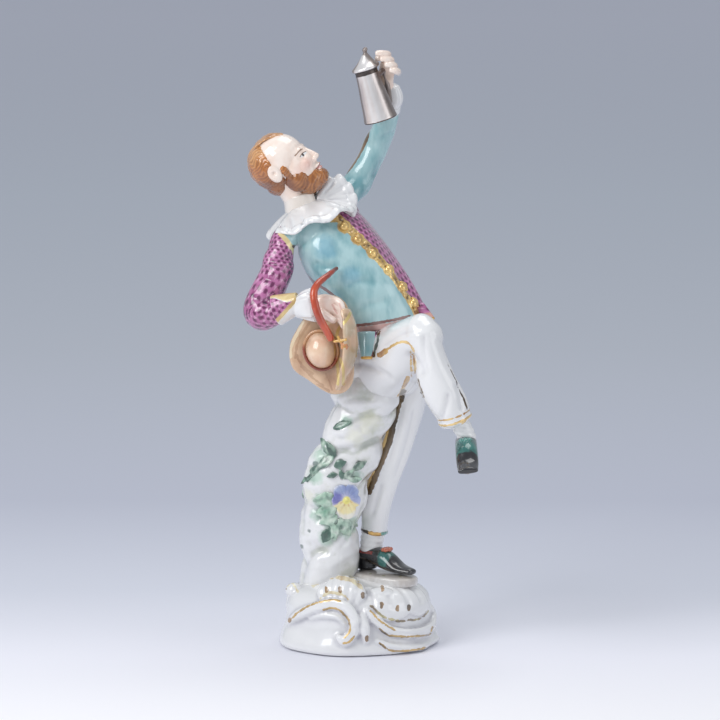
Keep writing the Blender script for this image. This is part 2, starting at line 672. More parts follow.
stump = Clay([bar(stump_stations, side=(1, 0, 0), around=80, along=110, blunt=0.33, relief=stump_relief),
              egg([4, -4.4, 83.4], [10.6, 7.8, 6.5], around=60), egg([-2, -6.4, 74], [7, 5, 5], around=40)],
             stump_grain, 5)
stump.swell(0.35 * rippled(stump.points, 11, 3) + 0.14 * rippled(stump.points, 5, 4))
for depth, *groove in (
        (-0.7, (330, 428), (345, 424), (368, 414), (392, 403)), (-0.4, (338, 404), (356, 398), (380, 400)),
        (-0.7, (330, 456), (352, 449), (372, 443), (384, 436)), (-0.6, (306, 470), (318, 463), (330, 460)),
        (-0.4, (316, 520), (330, 516), (344, 521)), (-0.5, (330, 560), (345, 545), (352, 530)),
        (-0.4, (310, 560), (322, 550), (330, 556)), (-0.6, (372, 480), (366, 500), (362, 525)),
        (0.5, (362, 430), (372, 424), (380, 416)), (0.4, (350, 440), (362, 434), (374, 432))):
    stump.carve(groove, 1.3, depth)
mossy = stump.hollows(30) * 2.2 - 0.35 + 0.5 * rippled(stump.points, 14, 5)
unrest = 0.5 * rippled(stump.points, 5, 6)
straw_places = [(307, 497, 2.4), (361, 522, 2.2), (372, 421, 3.2), (356, 436, 2.8), (366, 430, 2.4)]
green_places = [(323, 503, 3.0), (319, 514, 2.4), (334, 526, 2.8), (346, 528, 3.2), (354, 523, 2.0),
                (321, 455, 2.4), (316, 477, 2.4), (357, 475, 1.8), (346, 421, 2.0), (327, 537, 2.6)]
dark_places = [(310, 531, 0.6), (301.8, 547, 0.7), (333, 474.5, 0.9), (342, 478, 0.8), (316, 464, 0.8),
               (341, 463, 1.5), (359, 464, 1.1), (349, 474, 1.1), (343, 424, 1.4)]
stump.fired(
    "tree_stump", "white_stump_washed_green",
    area("moss", mossy, (0.6, 0.63, 0.46), (0.4, 0.45, 0.33), waver=0.6, soft=1.0, strength=0.5),
    area("straw", unrest + stump.blots(straw_places), (0.84, 0.84, 0.66), (0.72, 0.72, 0.52),
         waver=1.2, soft=2.5, strength=0.5),
    area("green", unrest + stump.blots(green_places), (0.5, 0.68, 0.56), (0.26, 0.44, 0.34),
         waver=1.2, soft=1.8, strength=0.8),
    area("spot", stump.blots(dark_places) + 0.4 * unrest, (0.16, 0.22, 0.2), (0.05, 0.09, 0.07),
         waver=0.5, soft=0.5, strength=0.8))

# Leaves and a stem are rolled and cut by hand and stuck to the stump with slip, each with
# a pressed midrib. Each row is a root and a tip in the picture, half a width and a darkness:
# they are painted in two greens, and the dark ones are shaded almost to black.
leaf_grain = 0.28
leaf_thickness = 0.75
leaf_rows = [
    [(334.5, 428.5), (353, 422), 1.5, 1.15], [(334, 455), (319, 438), 2, 0.75],
    [(336, 456), (328, 441), 1.5, 0.8], [(335, 456), (317, 470), 2, 0.7],
    [(324, 464), (303, 484), 2, 0.85], [(335, 466), (347, 461), 1.6, 1.05],
    [(353, 469), (367, 461), 1.4, 0.9], [(337, 474), (328, 477), 1.1, 0.95],
    [(343, 478), (340, 469), 1, 1.1], [(344, 478), (354, 470), 1.5, 0.65],
    [(350, 480), (362, 478), 1.2, 0.4], [(337, 497), (315, 500), 2.6, 0.2],
    [(338, 508), (316, 514), 2.6, 0.25], [(338, 515), (321, 524), 2.2, 0.15],
    [(343, 520), (359, 527), 2.2, 0.2], [(340, 518), (350, 536), 2.6, 0.3],
    [(333, 524), (336, 541), 2, 0.35], [(330, 529), (324, 542), 2.1, 1.15],
]


def landed(clay, places):
    """The points of a lump, and their normals, that places in the picture fall on."""
    facing = np.flatnonzero(clay.normals() @ toward_camera > 0.1)
    seen = clay.seen()[facing]
    nearest = [facing[np.argmin(np.linalg.norm(seen - np.array(place), axis=1))]
               for place in pictured(places)]
    return clay.points[nearest], clay.normals()[nearest]


def blade(root, tip, out, half_width, thickness, lift=0.25):
    """A pointed leaf from root to tip, with a midrib pressed into it."""
    ribs = np.array([0, 0.2, 0.45, 0.75, 1.0])
    girth = half_width * np.array([0.35, 0.85, 1.0, 0.65, 0.12])
    middle = root + (tip - root) * ribs[:, None] + out * (lift + 0.5 * np.sin(ribs * math.pi))[:, None]
    stations = [[*place, wide, thickness / 2] for place, wide in zip(middle, girth)]

    def midrib(angle, share):
        teeth = 0.05 * np.cos(share * 40) * np.abs(np.cos(angle))
        return 1 - 0.45 * np.exp(-(np.cos(angle) / 0.14) ** 2) + teeth

    return bar(stations, side=tuple(np.cross(out, tip - root)), around=28, along=30, relief=midrib)


leaf_forms, leaf_lines, leaf_darkness = [], [], []
for root_place, tip_place, half_width, darkness in leaf_rows:
    (root, tip), (out, tip_out) = landed(stump, [root_place, tip_place])
    leaf_forms.append(blade(root, tip + 0.3 * tip_out, unit(out + tip_out), half_width, leaf_thickness))
    leaf_lines.append([root, (root + tip) / 2 + 0.6 * out, tip])
    leaf_darkness.append(darkness)
for turn, height, slant in ((-2.1, 0.62, 0.4), (-1.2, 0.45, -0.5), (-0.7, 0.7, 0.3), (-2.6, 0.35, -0.4),
                            (-1.6, 0.25, 0.5)):
    middle, tangent, wide, deep, half_wide, half_deep = follow(stump_stations, (1, 0, 0), np.array([height]))
    out = unit(wide * math.cos(turn) + deep * math.sin(turn))[0]
    sunk = 0.93
    root = (middle + sunk * (wide * math.cos(turn) * half_wide + deep * math.sin(turn) * half_deep))[0]
    tip = root + 7 * (tangent[0] * math.cos(slant) + np.cross(out, tangent[0]) * math.sin(slant)) - 0.4 * out
    leaf_forms.append(blade(root, tip, out, 2.0, leaf_thickness, 0.5))
    leaf_lines.append([root, (root + tip) / 2, tip])
    leaf_darkness.append(0.3)
stem_places, stem_out = landed(stump, [(320, 441), (331, 450), (334, 458), (322, 467), (308, 481)])
leaf_forms.append(bar([[*place, 0.45] for place in stem_places + 0.2 * stem_out], around=10))
leaves = Clay(leaf_forms, leaf_grain, 2)
leaf_gaps = np.stack([from_line(leaves.points, line_of_leaf)[0] for line_of_leaf in leaf_lines], 1)
leaf_dark = np.array(leaf_darkness)[leaf_gaps.argmin(1)]
pale = rippled(leaves.points, 4, 7) - 0.3 - 2 * (leaf_dark > 1)
leaves.fired(
    "stump_leaves", "leaf_greens", wash((0.52, 0.68, 0.55), (0.16, 0.34, 0.24)),
    area("pale", pale, (0.78, 0.82, 0.74), (0.55, 0.68, 0.56), waver=1.0, soft=1.2, strength=0.8),
    area("dark", leaf_dark - 0.6 + 0.4 * rippled(leaves.points, 3, 6), (0.06, 0.14, 0.11),
         (0.015, 0.045, 0.035), waver=0.8, soft=0.9, strength=0.9),
    line("vein", leaf_gaps.min(1), 0.35, (0.08, 0.16, 0.12), waver=0.3, strength=0.45), roughness=0.16)

# The flower is a pansy of five petals pressed with a tool and set on the stump: two blue
# petals over two lilac ones, and a broad yellow petal below with ochre strokes.
flower_radius = 5.1
flower_grain = 0.22
(flower_place,), (flower_out,) = landed(stump, [(346, 499)])
flower_pose = stance(flower_place + 0.4 * flower_out, (0, 0, 1), unit(flower_out + 0.5 * toward_camera))
petals = []
for turn, reach, width in ((0.62, 0.6, 0.52), (-0.62, 0.6, 0.52), (1.75, 0.55, 0.46), (-1.75, 0.55, 0.46),
                           (math.pi, 0.66, 0.66)):
    place = flower_radius * reach * np.array([math.cos(turn), math.sin(turn), 0])
    place[2] = 0.5 + 0.2 * math.cos(turn)
    half = flower_radius * width

    def cupped(ball, turn=turn):
        ball[..., 2] = ball[..., 2] * 0.6 + 0.5 * (ball[..., 0] ** 2 + ball[..., 1] ** 2)
        return ball

    petals.append(egg(place, [half, half, 0.8], flower_pose, cupped))
petals.append(egg([0, 0, 0.9], [0.8, 0.8, 0.7], flower_pose))
flower = Clay(petals, flower_grain, 2)
rise, aside, _ = local(flower_pose, flower.points).T
ray = np.arctan2(aside, rise)
from_heart = np.hypot(rise, aside)
flower.swell(-0.12 * np.abs(np.cos(7 * ray)) ** 6 * stepped(from_heart, 0.8, 2))
blue = np.minimum(rise + 0.6, from_heart - 1.9) + 0.7 * rippled(flower.points, 3, 9)
flower.fired(
    "pansy", "pansy_enamels", wash((0.58, 0.58, 0.74), (0.36, 0.38, 0.6)),
    area("blue", blue, (0.34, 0.44, 0.66), (0.15, 0.21, 0.46), waver=1.4, soft=2.4, strength=0.75),
    area("violet", 2.2 - np.hypot(rise - 0.4, aside - 3.4), (0.14, 0.12, 0.46), (0.06, 0.05, 0.3),
         waver=0.9, soft=1.6, strength=0.75),
    area("yellow", -rise + 0.6 - 0.6 * np.abs(aside), (0.86, 0.8, 0.5), (0.76, 0.6, 0.26),
         waver=0.8, soft=0.7),
    area("rays", np.minimum(np.cos(9 * ray) - 0.55, 2.4 - from_heart) - 9 * (rise > 0),
         (0.72, 0.42, 0.2), (0.5, 0.28, 0.1), waver=0.6, soft=0.5, strength=0.6),
    area("rim", from_heart - 4.9, (0.82, 0.82, 0.86), (0.66, 0.68, 0.76), waver=0.8, soft=0.8,
         strength=0.6),
    area("heart", 1.3 - np.hypot(rise + 0.3, aside), (0.9, 0.84, 0.28), (0.8, 0.7, 0.15), soft=0.6),
    roughness=0.16)

# The breeches, with the seat: loose white cloth, modelled over both thighs and gathered at
# the hems. Gold and dark brown piping is painted down the side seams and round the hems.
breeches_grain = 0.5
across_body = (0.71, 0.71, 0)
standing_leg = [[15, 5, 96, 8.6], [17.2, 5.2, 88, 7.5], [16.6, 4.6, 80.8, 6.6], [13.5, 3.2, 69.2, 5.8],
                [9.5, 2.8, 57.1, 5.3], [7, 3, 45.9, 4.8], [6, 3.5, 37, 4.2]]
raised_thigh = [[10, -3, 94.5, 11, 12], [15.2, -15, 102, 9.2, 9.8], [18.8, -22.6, 106.8, 7.8, 7.8],
                [21.6, -27.5, 109.8, 6.3, 6.3]]
raised_shin = [[21.9, -28.4, 109.6, 5.6], [23.9, -29.5, 103.4, 5.1], [25.9, -29.3, 96.2, 6.1],
               [28.2, -29, 90.1, 6.4], [30.8, -28.5, 84.9, 6.1], [32.8, -28, 80.2, 5.2]]


def folds(count, depth, twist):
    return lambda angle, share: 1 + depth * np.cos(count * angle + twist * share)


breeches = Clay([
    bar([[13, 1, 90, 9, 8.6], [11.2, 0.4, 98, 12.2, 10.4], [11, 0, 106, 13, 10.6]], side=across_body,
        around=60),
    egg([3, 0.5, 94], [10.5, 9.5, 8.6], around=60),
    bar(standing_leg, around=60, blunt=0.25, relief=folds(3, 0.05, 9)),
    bar(raised_thigh, side=(1, 0, 0), around=60, relief=folds(3, 0.04, 5)),
    bar(raised_shin, side=(1, 0, 0), around=60, blunt=0.2, relief=folds(3, 0.035, -8)),
    egg([22.2, -27.6, 108.2], [6.4, 6.2, 6.6], around=50),
], breeches_grain, 14)
breeches.carve_all([
    [(345, 366), (362, 364), (382, 372), (398, 384)], [(404, 352), (418, 362), (424, 380)],
    [(424, 330), (424, 350), (427, 376)], [(404, 398), (398, 430), (388, 470)],
    [(416, 400), (408, 440), (392, 490)], [(380, 350), (398, 336), (416, 330)],
    [(440, 424), (446, 404), (448, 390)], [(462, 414), (460, 396), (456, 380)],
    [(372, 520), (378, 500), (384, 480)]], 1.1, -0.55)
breeches.swell(0.16 * rippled(breeches.points * [1, 1, 0.6], 13, 8))
hem_rings = []
for place, upright, reach in (((6, 3.5, 37), (0.1, 0, 1.0), 9), ((32.6, -28, 80.9), (-0.3, -0.05, 0.95), 11)):
    out = breeches.points - np.array(place)
    hem_rings.append(np.where(np.linalg.norm(out, axis=1) < reach, out @ unit(np.array(upright)), 99))
    breeches.swell(0.4 * np.exp(-(hem_rings[-1] / 0.8) ** 2))
broad_piping = breeches.near([(380, 355), (386, 351)],
                             [(400, 396), (394, 415), (387, 440), (376.5, 466), (367, 493)])
piping = np.minimum.reduce([
    breeches.near([(379, 356), (387, 350), (394, 345), (402, 342), (409, 344), (413, 351), (415, 364),
                   (415.5, 379)]),
    broad_piping - 0.5, breeches.near([(408, 378), (404, 388), (401, 396)], [(463, 423), (464, 421)]) - 0.4,
    breeches.near([(410.5, 351), (411.5, 376)]) + 0.1, np.abs(hem_rings[1] - 2.0) + 0.08,
    np.abs(hem_rings[1] - 0.2)])
shin_seam = [[29.1, -31.6, 103.4], [31.9, -31.8, 96.2], [34.5, -31.5, 90.1], [36.8, -30.9, 84.2]]
dark_seam = np.minimum.reduce([
    breeches.near([(404, 391), (397, 412), (391, 438), (381, 464), (370, 492)]) - 0.55,
    breeches.near([(418, 379), (420.5, 388), (424, 397)]) + 0.25,
    from_line(breeches.points, shin_seam)[0] + 0.02, breeches.near([(380, 331), (377, 344), (374, 356)])])
hem_gap = np.abs(hem_rings[0] + 0.2)
breeches.fired(
    "breeches", "white_breeches",
    line("piping", piping, 0.75, (0.88, 0.64, 0.28), (0.4, 0.18, 0.04), metal=0.3, waver=0.4),
    line("seam", dark_seam, 0.9, (0.16, 0.09, 0.025), (0.008, 0.005, 0.003), waver=0.5, strength=0.98),
    line("hem", hem_gap, 1.7, (0.8, 0.48, 0.14), (0.1, 0.05, 0.02), metal=0.4, waver=0.5),
    area("dark_hem", np.minimum(0.9 - hem_gap, breeches.blots([(364, 534, 1.7)])), (0.06, 0.04, 0.03),
         (0.02, 0.015, 0.01), soft=0.3),
    area("green_hem", np.minimum(0.9 - hem_gap, breeches.blots([(386, 534, 1.5)])), (0.2, 0.42, 0.36),
         (0.08, 0.24, 0.2), soft=0.4))

# The stockings are the rolled shins themselves, left as bare white porcelain between hem
# and shoe, with a few wrinkles pressed in at the ankle.
stocking_grain = 0.36
stockings = Clay([
    bar([[5.8, 3.5, 38, 4.0], [5.0, 3.6, 33.6, 3.9], [4.6, 3.4, 29.6, 3.6]], around=40),
    bar([[32.8, -28, 81.5, 3.4], [35.6, -28, 76.6, 3.1], [36.5, -27.6, 74, 3.1]], around=40),
], stocking_grain)
stockings.swell(0.1 * np.cos(stockings.points[:, 2] * 3.4 + 0.5 * stockings.points[:, 0]))
stockings.fired("stockings", "white_stockings")

# Heeled court shoes, painted a glossy black over the modelled leather. The vamp under the
# rosette is dark green, the standing shoe's opening is red and the welt is left brown.
shoe_length = 24
shoe_width = 7.4
heel_height = 5
shoe_grain = 0.27
drawn_ground = 24.5
shoe_stances = [stance([4.2, 3.3, drawn_ground - 0.6], [0.77, -0.64, 0], [0, 0, 1]),
                stance([36.5, -26.8, 67.8], [0, -0.99, -0.07], [-0.1, -0.14, 0.98])]


def in_stance(pose, stations):
    return [[*placed(pose, np.array(s[:3])), *s[3:]] for s in stations]


shoe_forms = []
for pose, toe, blunt in zip(shoe_stances, (0.6, 0.9), (0.8, 0.35)):
    long, wide, side = shoe_length, shoe_width / 2, tuple(pose[0][1])
    shoe_forms.append(bar(in_stance(pose, [
        [-long * 0.12, 0, heel_height + 0.2, wide * 0.9, 2.4],
        [long * 0.06, 0, heel_height + 0.5, wide * 0.98, 2.8], [long * 0.3, 0, heel_height * 0.86, wide, 3.3],
        [long * 0.54, 0, heel_height * 0.42, wide * 0.98, 1.8],
        [long * 0.76, 0, heel_height * 0.3, wide * toe, 1.2]]), side=side, around=40, blunt=blunt))
    shoe_forms.append(bar(in_stance(pose, [
        [-long * 0.04, 0, 0.7, wide * 0.72, 3.8], [-long * 0.05, 0, heel_height * 0.5, wide * 0.68, 3.6],
        [-long * 0.06, 0, heel_height, wide * 0.8, 3.8]]), side=side, around=30, blunt=0.3))
shoes = Clay(shoe_forms, shoe_grain, 3)
on_shoe = [local(pose, shoes.points) for pose in shoe_stances]
worn = np.where(np.linalg.norm(on_shoe[0], axis=1) < np.linalg.norm(on_shoe[1], axis=1), 0, 1)
along_shoe = np.where((worn == 0)[:, None], on_shoe[0], on_shoe[1])
shoe_line = np.interp(along_shoe[:, 0], [-4, 2, 7, 13, 18],
                      [heel_height * 0.9, heel_height * 0.75, 2.3, 0.6, 0.5])
shoes.swell(-0.25 * np.exp(-((along_shoe[:, 2] - shoe_line) / 0.3) ** 2))
vamp = np.minimum(along_shoe[:, 2] - 2.6, 2 - np.abs(along_shoe[:, 0] - 8.4))
vamp = np.where(worn == 1, np.minimum(along_shoe[:, 2] - 1.2, 3.8 - np.abs(along_shoe[:, 0] - 6.8)), vamp)
trim = np.where(along_shoe[:, 0] < 4, np.abs(along_shoe[:, 2] - 6.6), 9) + 9 * worn
shoes.fired(
    "court_shoes", "black_court_shoes", wash((0.012, 0.012, 0.016), (0.004, 0.004, 0.006)),
    area("vamp", vamp, (0.03, 0.17, 0.15), (0.005, 0.05, 0.05), waver=0.8, soft=0.6),
    line("trim", trim, 0.9, (0.32, 0.05, 0.04), waver=0.3),
    line("welt", np.abs(along_shoe[:, 2] - shoe_line), 0.4, (0.22, 0.14, 0.05), waver=0.3, strength=0.6),
    roughness=0.1)

# A small rosette of pinched ribbon loops on each shoe: rust red on the standing shoe, dark
# green on the raised one.
rosette_grain = 0.17
rosette_forms = []
for pose, place in zip(shoe_stances, ([7.6, 0, 7.6], [4.6, 0, 7.4])):
    heart = np.array(place)
    for turn in np.linspace(0, 2 * math.pi, 6, endpoint=False):
        loop = heart + np.array([0.9 * math.cos(turn), 1.5 * math.sin(turn), 0.25])
        rosette_forms.append(egg(loop, [0.85, 0.95, 0.75], pose, around=16))
    rosette_forms.append(egg(heart + np.array([0, 0, 0.5]), [0.7, 0.7, 0.7], pose, around=16))
rosettes = Clay(rosette_forms, rosette_grain, 2)
between_shoes = 50
rosettes.fired("shoe_rosettes", "rust_ribbon", wash((0.55, 0.14, 0.07), (0.25, 0.05, 0.03)),
               area("raised", rosettes.points[:, 2] - between_shoes, (0.07, 0.26, 0.22), (0.015, 0.09, 0.08)))

# The jacket's body is thrown-over cloth on a moulded trunk. It is parti-coloured: brushed
# turquoise on the dancer's right, and a purple scale pattern on a pink ground on the left,
# with a raised braid along the button edge and the armholes drawn in gold.
jacket_grain = 0.44
scale_size = 1.6
scales_round_chest = 34
scales_round_arm = 15
chest_stations = [[11.6, 0, 101, 12.4, 9.8], [11.6, 0, 107.4, 13.4, 10.8], [6, 1, 116.7, 14.2, 11.6],
                  [-2.8, 3.4, 128.3, 15.8, 12], [-9, 6.6, 138, 14.6, 9.8], [-14.5, 8.6, 144, 8.6, 6.6]]
turquoise = ((0.42, 0.62, 0.64), (0.17, 0.38, 0.42))
pink_ground = ((0.55, 0.19, 0.4), (0.28, 0.045, 0.17))
purple_dab = ((0.17, 0.02, 0.1), (0.06, 0.008, 0.05))

# Scale pattern: rows of cells offset by half, each with a dark dab under a pale arc.
scales, scales_in, scales_out = effect("painted_scales", {"Round": 0.0, "Along": 0.0},
                                       {"Dab": 0.0, "Arc": 0.0})
along_rows = calc(scales, "MULTIPLY", noise(scales, 420), 0.9)
along_rows = calc(scales, "ADD", scales_in.outputs["Along"], along_rows)
row = calc(scales, "FLOOR", along_rows)
offset = calc(scales, "MULTIPLY", calc(scales, "MODULO", row, 2.0), 0.5)
cell_x = calc(scales, "FRACT", calc(scales, "ADD", scales_in.outputs["Round"], offset))
cell_x = calc(scales, "SUBTRACT", cell_x, 0.5)
cell_y = calc(scales, "SUBTRACT", calc(scales, "FRACT", along_rows), 0.5)
blob_gap = calc(scales, "SQRT", calc(scales, "ADD", calc(scales, "MULTIPLY", cell_x, cell_x),
                                     calc(scales, "MULTIPLY", calc(scales, "MULTIPLY", cell_y, cell_y), 0.8)))
uneven = calc(scales, "MULTIPLY", calc(scales, "SUBTRACT", noise(scales, 260), 0.5), 0.32)
dab = calc(scales, "MULTIPLY", calc(scales, "SUBTRACT", calc(scales, "ADD", uneven, 0.34), blob_gap), 4.5)
scales.links.new(calc(scales, "ADD", dab, 0.3, clamp=True), scales_out.inputs["Dab"])
arc_y = calc(scales, "SUBTRACT", cell_y, 0.5)
arc_gap = calc(scales, "MULTIPLY", arc_y, arc_y)
arc_gap = calc(scales, "ADD", calc(scales, "MULTIPLY", cell_x, cell_x), arc_gap)
from_arc = calc(scales, "ABSOLUTE", calc(scales, "SUBTRACT", calc(scales, "SQRT", arc_gap), 0.52))
arc = calc(scales, "SUBTRACT", 1.0, calc(scales, "MULTIPLY", from_arc, 9.0), clamp=True)
scales.links.new(arc, scales_out.inputs["Arc"])


def scaly(label=None, values=None):
    """The purple scale pattern all over, or over the places where its values are above nought."""
    def coat(tree):
        made = node(tree, "Group", node_tree=scales)
        tree.links.new(reading(tree, "round"), made.inputs["Round"])
        tree.links.new(reading(tree, "along"), made.inputs["Along"])
        ground = brush(tree, *pink_ground)
        pale = calc(tree, "MULTIPLY", made.outputs["Arc"], 0.5)
        ground = blended(tree, pale, ground, (0.85, 0.6, 0.76, 1))
        ground = blended(tree, made.outputs["Dab"], ground, brush(tree, *purple_dab))
        return (edge(tree, reading(tree, label)) if label else 1.0), ground, 0
    return label, values, coat


def round_route(points, stations, side, samples=160):
    """Each point's share along a route, its angle round it, and the route's length and girth."""
    share = np.linspace(0, 1, samples)
    middle, tangent, wide, deep, half_wide, half_deep = follow(stations, side, share)
    nearest = np.empty(len(points), int)
    for start in range(0, len(points), 20000):
        block = points[start:start + 20000]
        nearest[start:start + 20000] = (np.abs(((block[:, None] - middle) ** 2).sum(-1))).argmin(1)
    out = points - middle[nearest]
    angle = np.arctan2((out * deep[nearest]).sum(1), (out * wide[nearest]).sum(1))
    length = np.linalg.norm(np.diff(middle, axis=0), axis=1).sum()
    return share[nearest], angle, length, (half_wide + half_deep)[nearest, 0] / 2


def wrapped(turn):
    """The same turn, between half a turn back and half a turn on."""
    return (turn + math.pi) % (2 * math.pi) - math.pi


def on_trunk(share, turn, out):
    """A place on the chest: it, and the directions outward, round the chest and up from it."""
    middle, up, wide, deep, half_wide, half_deep = follow(chest_stations, across_body, np.array([share]))
    across, along = wide * math.cos(turn), deep * math.sin(turn)
    place = middle + across * (half_wide + out) + along * (half_deep + out)
    return place[0], unit(across + along)[0], (deep * math.cos(turn) - wide * math.sin(turn))[0], up[0]


jacket = Clay([bar(chest_stations, across_body, around=90, along=60, blunt=0.5, relief=folds(5, 0.025, 8)),
               egg([-15, 0.5, 139], [7, 6.5, 6.5]), egg([-6, 13.4, 142.6], [7, 6, 6])], jacket_grain, 5)
up_chest, round_chest, chest_length, chest_girth = round_route(jacket.points, chest_stations, across_body)
waist_folds = stepped(up_chest, 0.0, 0.2) * (1 - stepped(up_chest, 0.25, 0.6))
jacket.swell(0.3 * np.cos(7 * round_chest + 3 * up_chest) * waist_folds)
jacket.swell(0.14 * rippled(jacket.points, 12, 11))
jacket.carve_all([[(352, 318), (368, 306), (392, 300)], [(345, 290), (360, 282), (384, 284)],
                  [(312, 262), (326, 268), (344, 266)], [(330, 240), (346, 256), (362, 276)]], 1.4, -0.5)
button_count = 7
button_diameter = 3.1
placket_start, placket_share = 0.27, 0.58
edge_start, edge_swing = math.pi / 2 - 0.2, 0.55
button_places, button_stances = [], []
for down in np.linspace(0, 1, button_count):
    turn = edge_start + edge_swing * down
    place, outward, _, up = on_trunk(placket_start + placket_share * down, turn, -0.1)
    button_places.append(place)
    button_stances.append(stance(place, up, outward))
braid = 2.5 - np.min([np.linalg.norm(jacket.points - place, axis=1) for place in button_places], axis=0)
button_edge = edge_start + edge_swing * (up_chest - placket_start) / placket_share
from_edge = wrapped(round_chest - button_edge)
in_front = np.abs(from_edge) < math.pi / 2
on_right = np.where(in_front, from_edge, np.sign(from_edge) * (math.pi - np.abs(from_edge))) * chest_girth
strip = np.exp(-(on_right / 1.9) ** 4) * in_front * stepped(up_chest, 0.2, 0.26)
jacket.swell(strip * (0.25 + 0.4 * rippled(jacket.points, 2.2, 14)))
gilt_edge = np.where(in_front, np.abs(np.abs(on_right) - 1.8), np.abs(on_right))
shaded = [(327, 248, 3.4), (352, 276, 2.6), (338, 300, 2.4)]
jacket.fired(
    "jacket", "parti_coloured_jacket", scaly(), area("right", on_right, *turquoise),
    area("deep", jacket.blots(shaded) + 0.8 * rippled(jacket.points, 6, 12), (0.24, 0.48, 0.58),
         (0.09, 0.29, 0.4), waver=1.5, soft=3.0, strength=0.75),
    area("rose", jacket.below([(352, 327), (372, 325.5), (390, 322.5), (412, 318)]), (0.62, 0.34, 0.3),
         (0.4, 0.17, 0.15), waver=0.5, soft=0.6, strength=0.9),
    line("flank", jacket.near([(301, 269), (309, 277), (314, 282), (328, 291), (343, 303)],
                              [(354, 326), (372, 324), (390, 321), (410, 316.5)]),
         0.95, (0.22, 0.05, 0.035), (0.07, 0.015, 0.012), waver=0.3, strength=0.9),
    line("placket", np.where(in_front, np.abs(on_right), 9), 4.0, (0.55, 0.34, 0.1), (0.08, 0.04, 0.015),
         metal=0.25, waver=0.5),
    area("braid", braid, (0.84, 0.6, 0.22), (0.3, 0.14, 0.03), soft=0.4, waver=0.6),
    line("armhole", jacket.near([(284, 238), (291, 245), (296, 253), (300, 261)]), 1.5, (0.86, 0.7, 0.38),
         (0.6, 0.4, 0.14), metal=0.2, waver=0.3),
    line("edging", gilt_edge, 0.9, (0.86, 0.62, 0.24), (0.4, 0.2, 0.05), metal=0.4, waver=0.4),
    area("blots", jacket.blots([(294.5, 247, 0.55), (298.5, 263.5, 0.7)]), (0.1, 0.03, 0.02),
         (0.03, 0.01, 0.01), soft=0.3),
    round=round_chest * scales_round_chest / (2 * math.pi), along=up_chest * chest_length / scale_size)

# Seven gilt buttons, rolled balls of paste pressed on along the jacket's edge, each with a
# twist of braid under it.
button_grain = 0.2
button_shape = button_diameter * np.array([0.5, 0.5, 0.38])
button_forms = [egg([0, 0, 0.3], button_shape, pose, around=24) for pose in button_stances]
for pose in button_stances:
    twist = in_stance(pose, [[-1.5, -1.2, 0.2, 0.5], [0.2, -2.1, 0.25, 0.6], [1.7, -1.1, 0.2, 0.5]])
    button_forms.append(bar(twist, around=12))
buttons = Clay(button_forms, button_grain, 2)
buttons.fired("gilt_buttons", "gilt_buttons", wash((0.9, 0.62, 0.22), (0.4, 0.2, 0.05), metal=0.55))

# The belt is a flat strap of paste round the waist, painted a brownish rose with a dark
# upper edge.
belt_grain = 0.44
belt_stations = [[11.6, 0, 105.4, 14.2, 11.8], [10.6, 0, 109, 14.2, 11.6]]
belt = Clay([bar(belt_stations, side=across_body, around=90, along=6, blunt=0.05)], belt_grain, 3)
up_belt = round_route(belt.points, belt_stations, across_body, 40)[0]
belt.fired("belt", "rose_belt", wash((0.6, 0.32, 0.28), (0.34, 0.13, 0.11)),
           area("top", (up_belt - 0.8) * 4, (0.12, 0.04, 0.04), (0.05, 0.02, 0.02), waver=0.3))

# The jacket's short skirts are cut slabs that flare below the belt: five round the hips,
# one over the raised thigh and the belt's rose end. They repeat the jacket's two colours,
# and their hems are gilt.
skirt_grain = 0.34
skirt_thickness = 1.8
tab_forms, tab_lines = [], []
for turn in (0.42, 1.6, 2.4, 3.2, 4.0):
    ends = []
    for share, out, lower in ((0.19, -0.2, 0), (0.02, 1.6, 3.4)):
        place, _, round_it, _ = on_trunk(share, -turn + math.pi * 0.92, out)
        ends.append(place - [0, 0, lower])
    tab_forms.append(bar([[*ends[0], 3.4, skirt_thickness / 2], [*ends[1], 4.8, skirt_thickness / 2]],
                         side=tuple(round_it), around=40, along=24, blunt=0.3,
                         relief=lambda angle, share: 1 + 0.06 * np.cos(3 * angle) * share))
    tab_lines.append(ends)
for upper, lower, side, blunt in (
        ([3.4, -12.4, 107.4, 3.4, 1], [3.2, -15.6, 99, 2, 0.9], (1, -0.25, 0), 0.3),
        ([20.6, -2, 114.4, 2.2, 1.4], [24, -4, 109.4, 2.6, 1.6], (0.8, -0.5, 0.3), 0.4)):
    tab_forms.append(bar([upper, lower], side=side, around=40, along=24, blunt=blunt))
    tab_lines.append(np.array([upper[:3], lower[:3]]))
belt_end = tab_lines[-1][1]
tabs = Clay(tab_forms, skirt_grain, 2)
round_tab = round_route(tabs.points, chest_stations, across_body)[1]
tab_gaps = [from_line(tabs.points, ends) for ends in tab_lines]
hem_gap = np.min([np.abs(share - 1.0) + 9 * (gap > 6) for gap, share in tab_gaps], axis=0) * 8
tab_right = np.maximum(np.sin(round_tab + 1.2) * 9, 12 - tabs.points[:, 0] * 2)
tabs.fired(
    "jacket_skirts", "jacket_skirts", scaly(),
    area("right", np.where(tabs.points[:, 0] > 16, -1, tab_right), *turquoise),
    area("rose", 3.4 - np.linalg.norm(tabs.points - belt_end, axis=1), (0.66, 0.36, 0.3),
         (0.4, 0.16, 0.13), soft=0.6),
    line("edge", tabs.near([(379.5, 330), (376, 344), (372.5, 357)]), 0.6, (0.34, 0.08, 0.07),
         (0.16, 0.04, 0.03), waver=0.2),
    line("hem", hem_gap, 1.2, gold, (0.34, 0.18, 0.04), metal=0.5),
    round=round_tab * scales_round_chest / (2 * math.pi), along=tabs.points[:, 2] / scale_size)

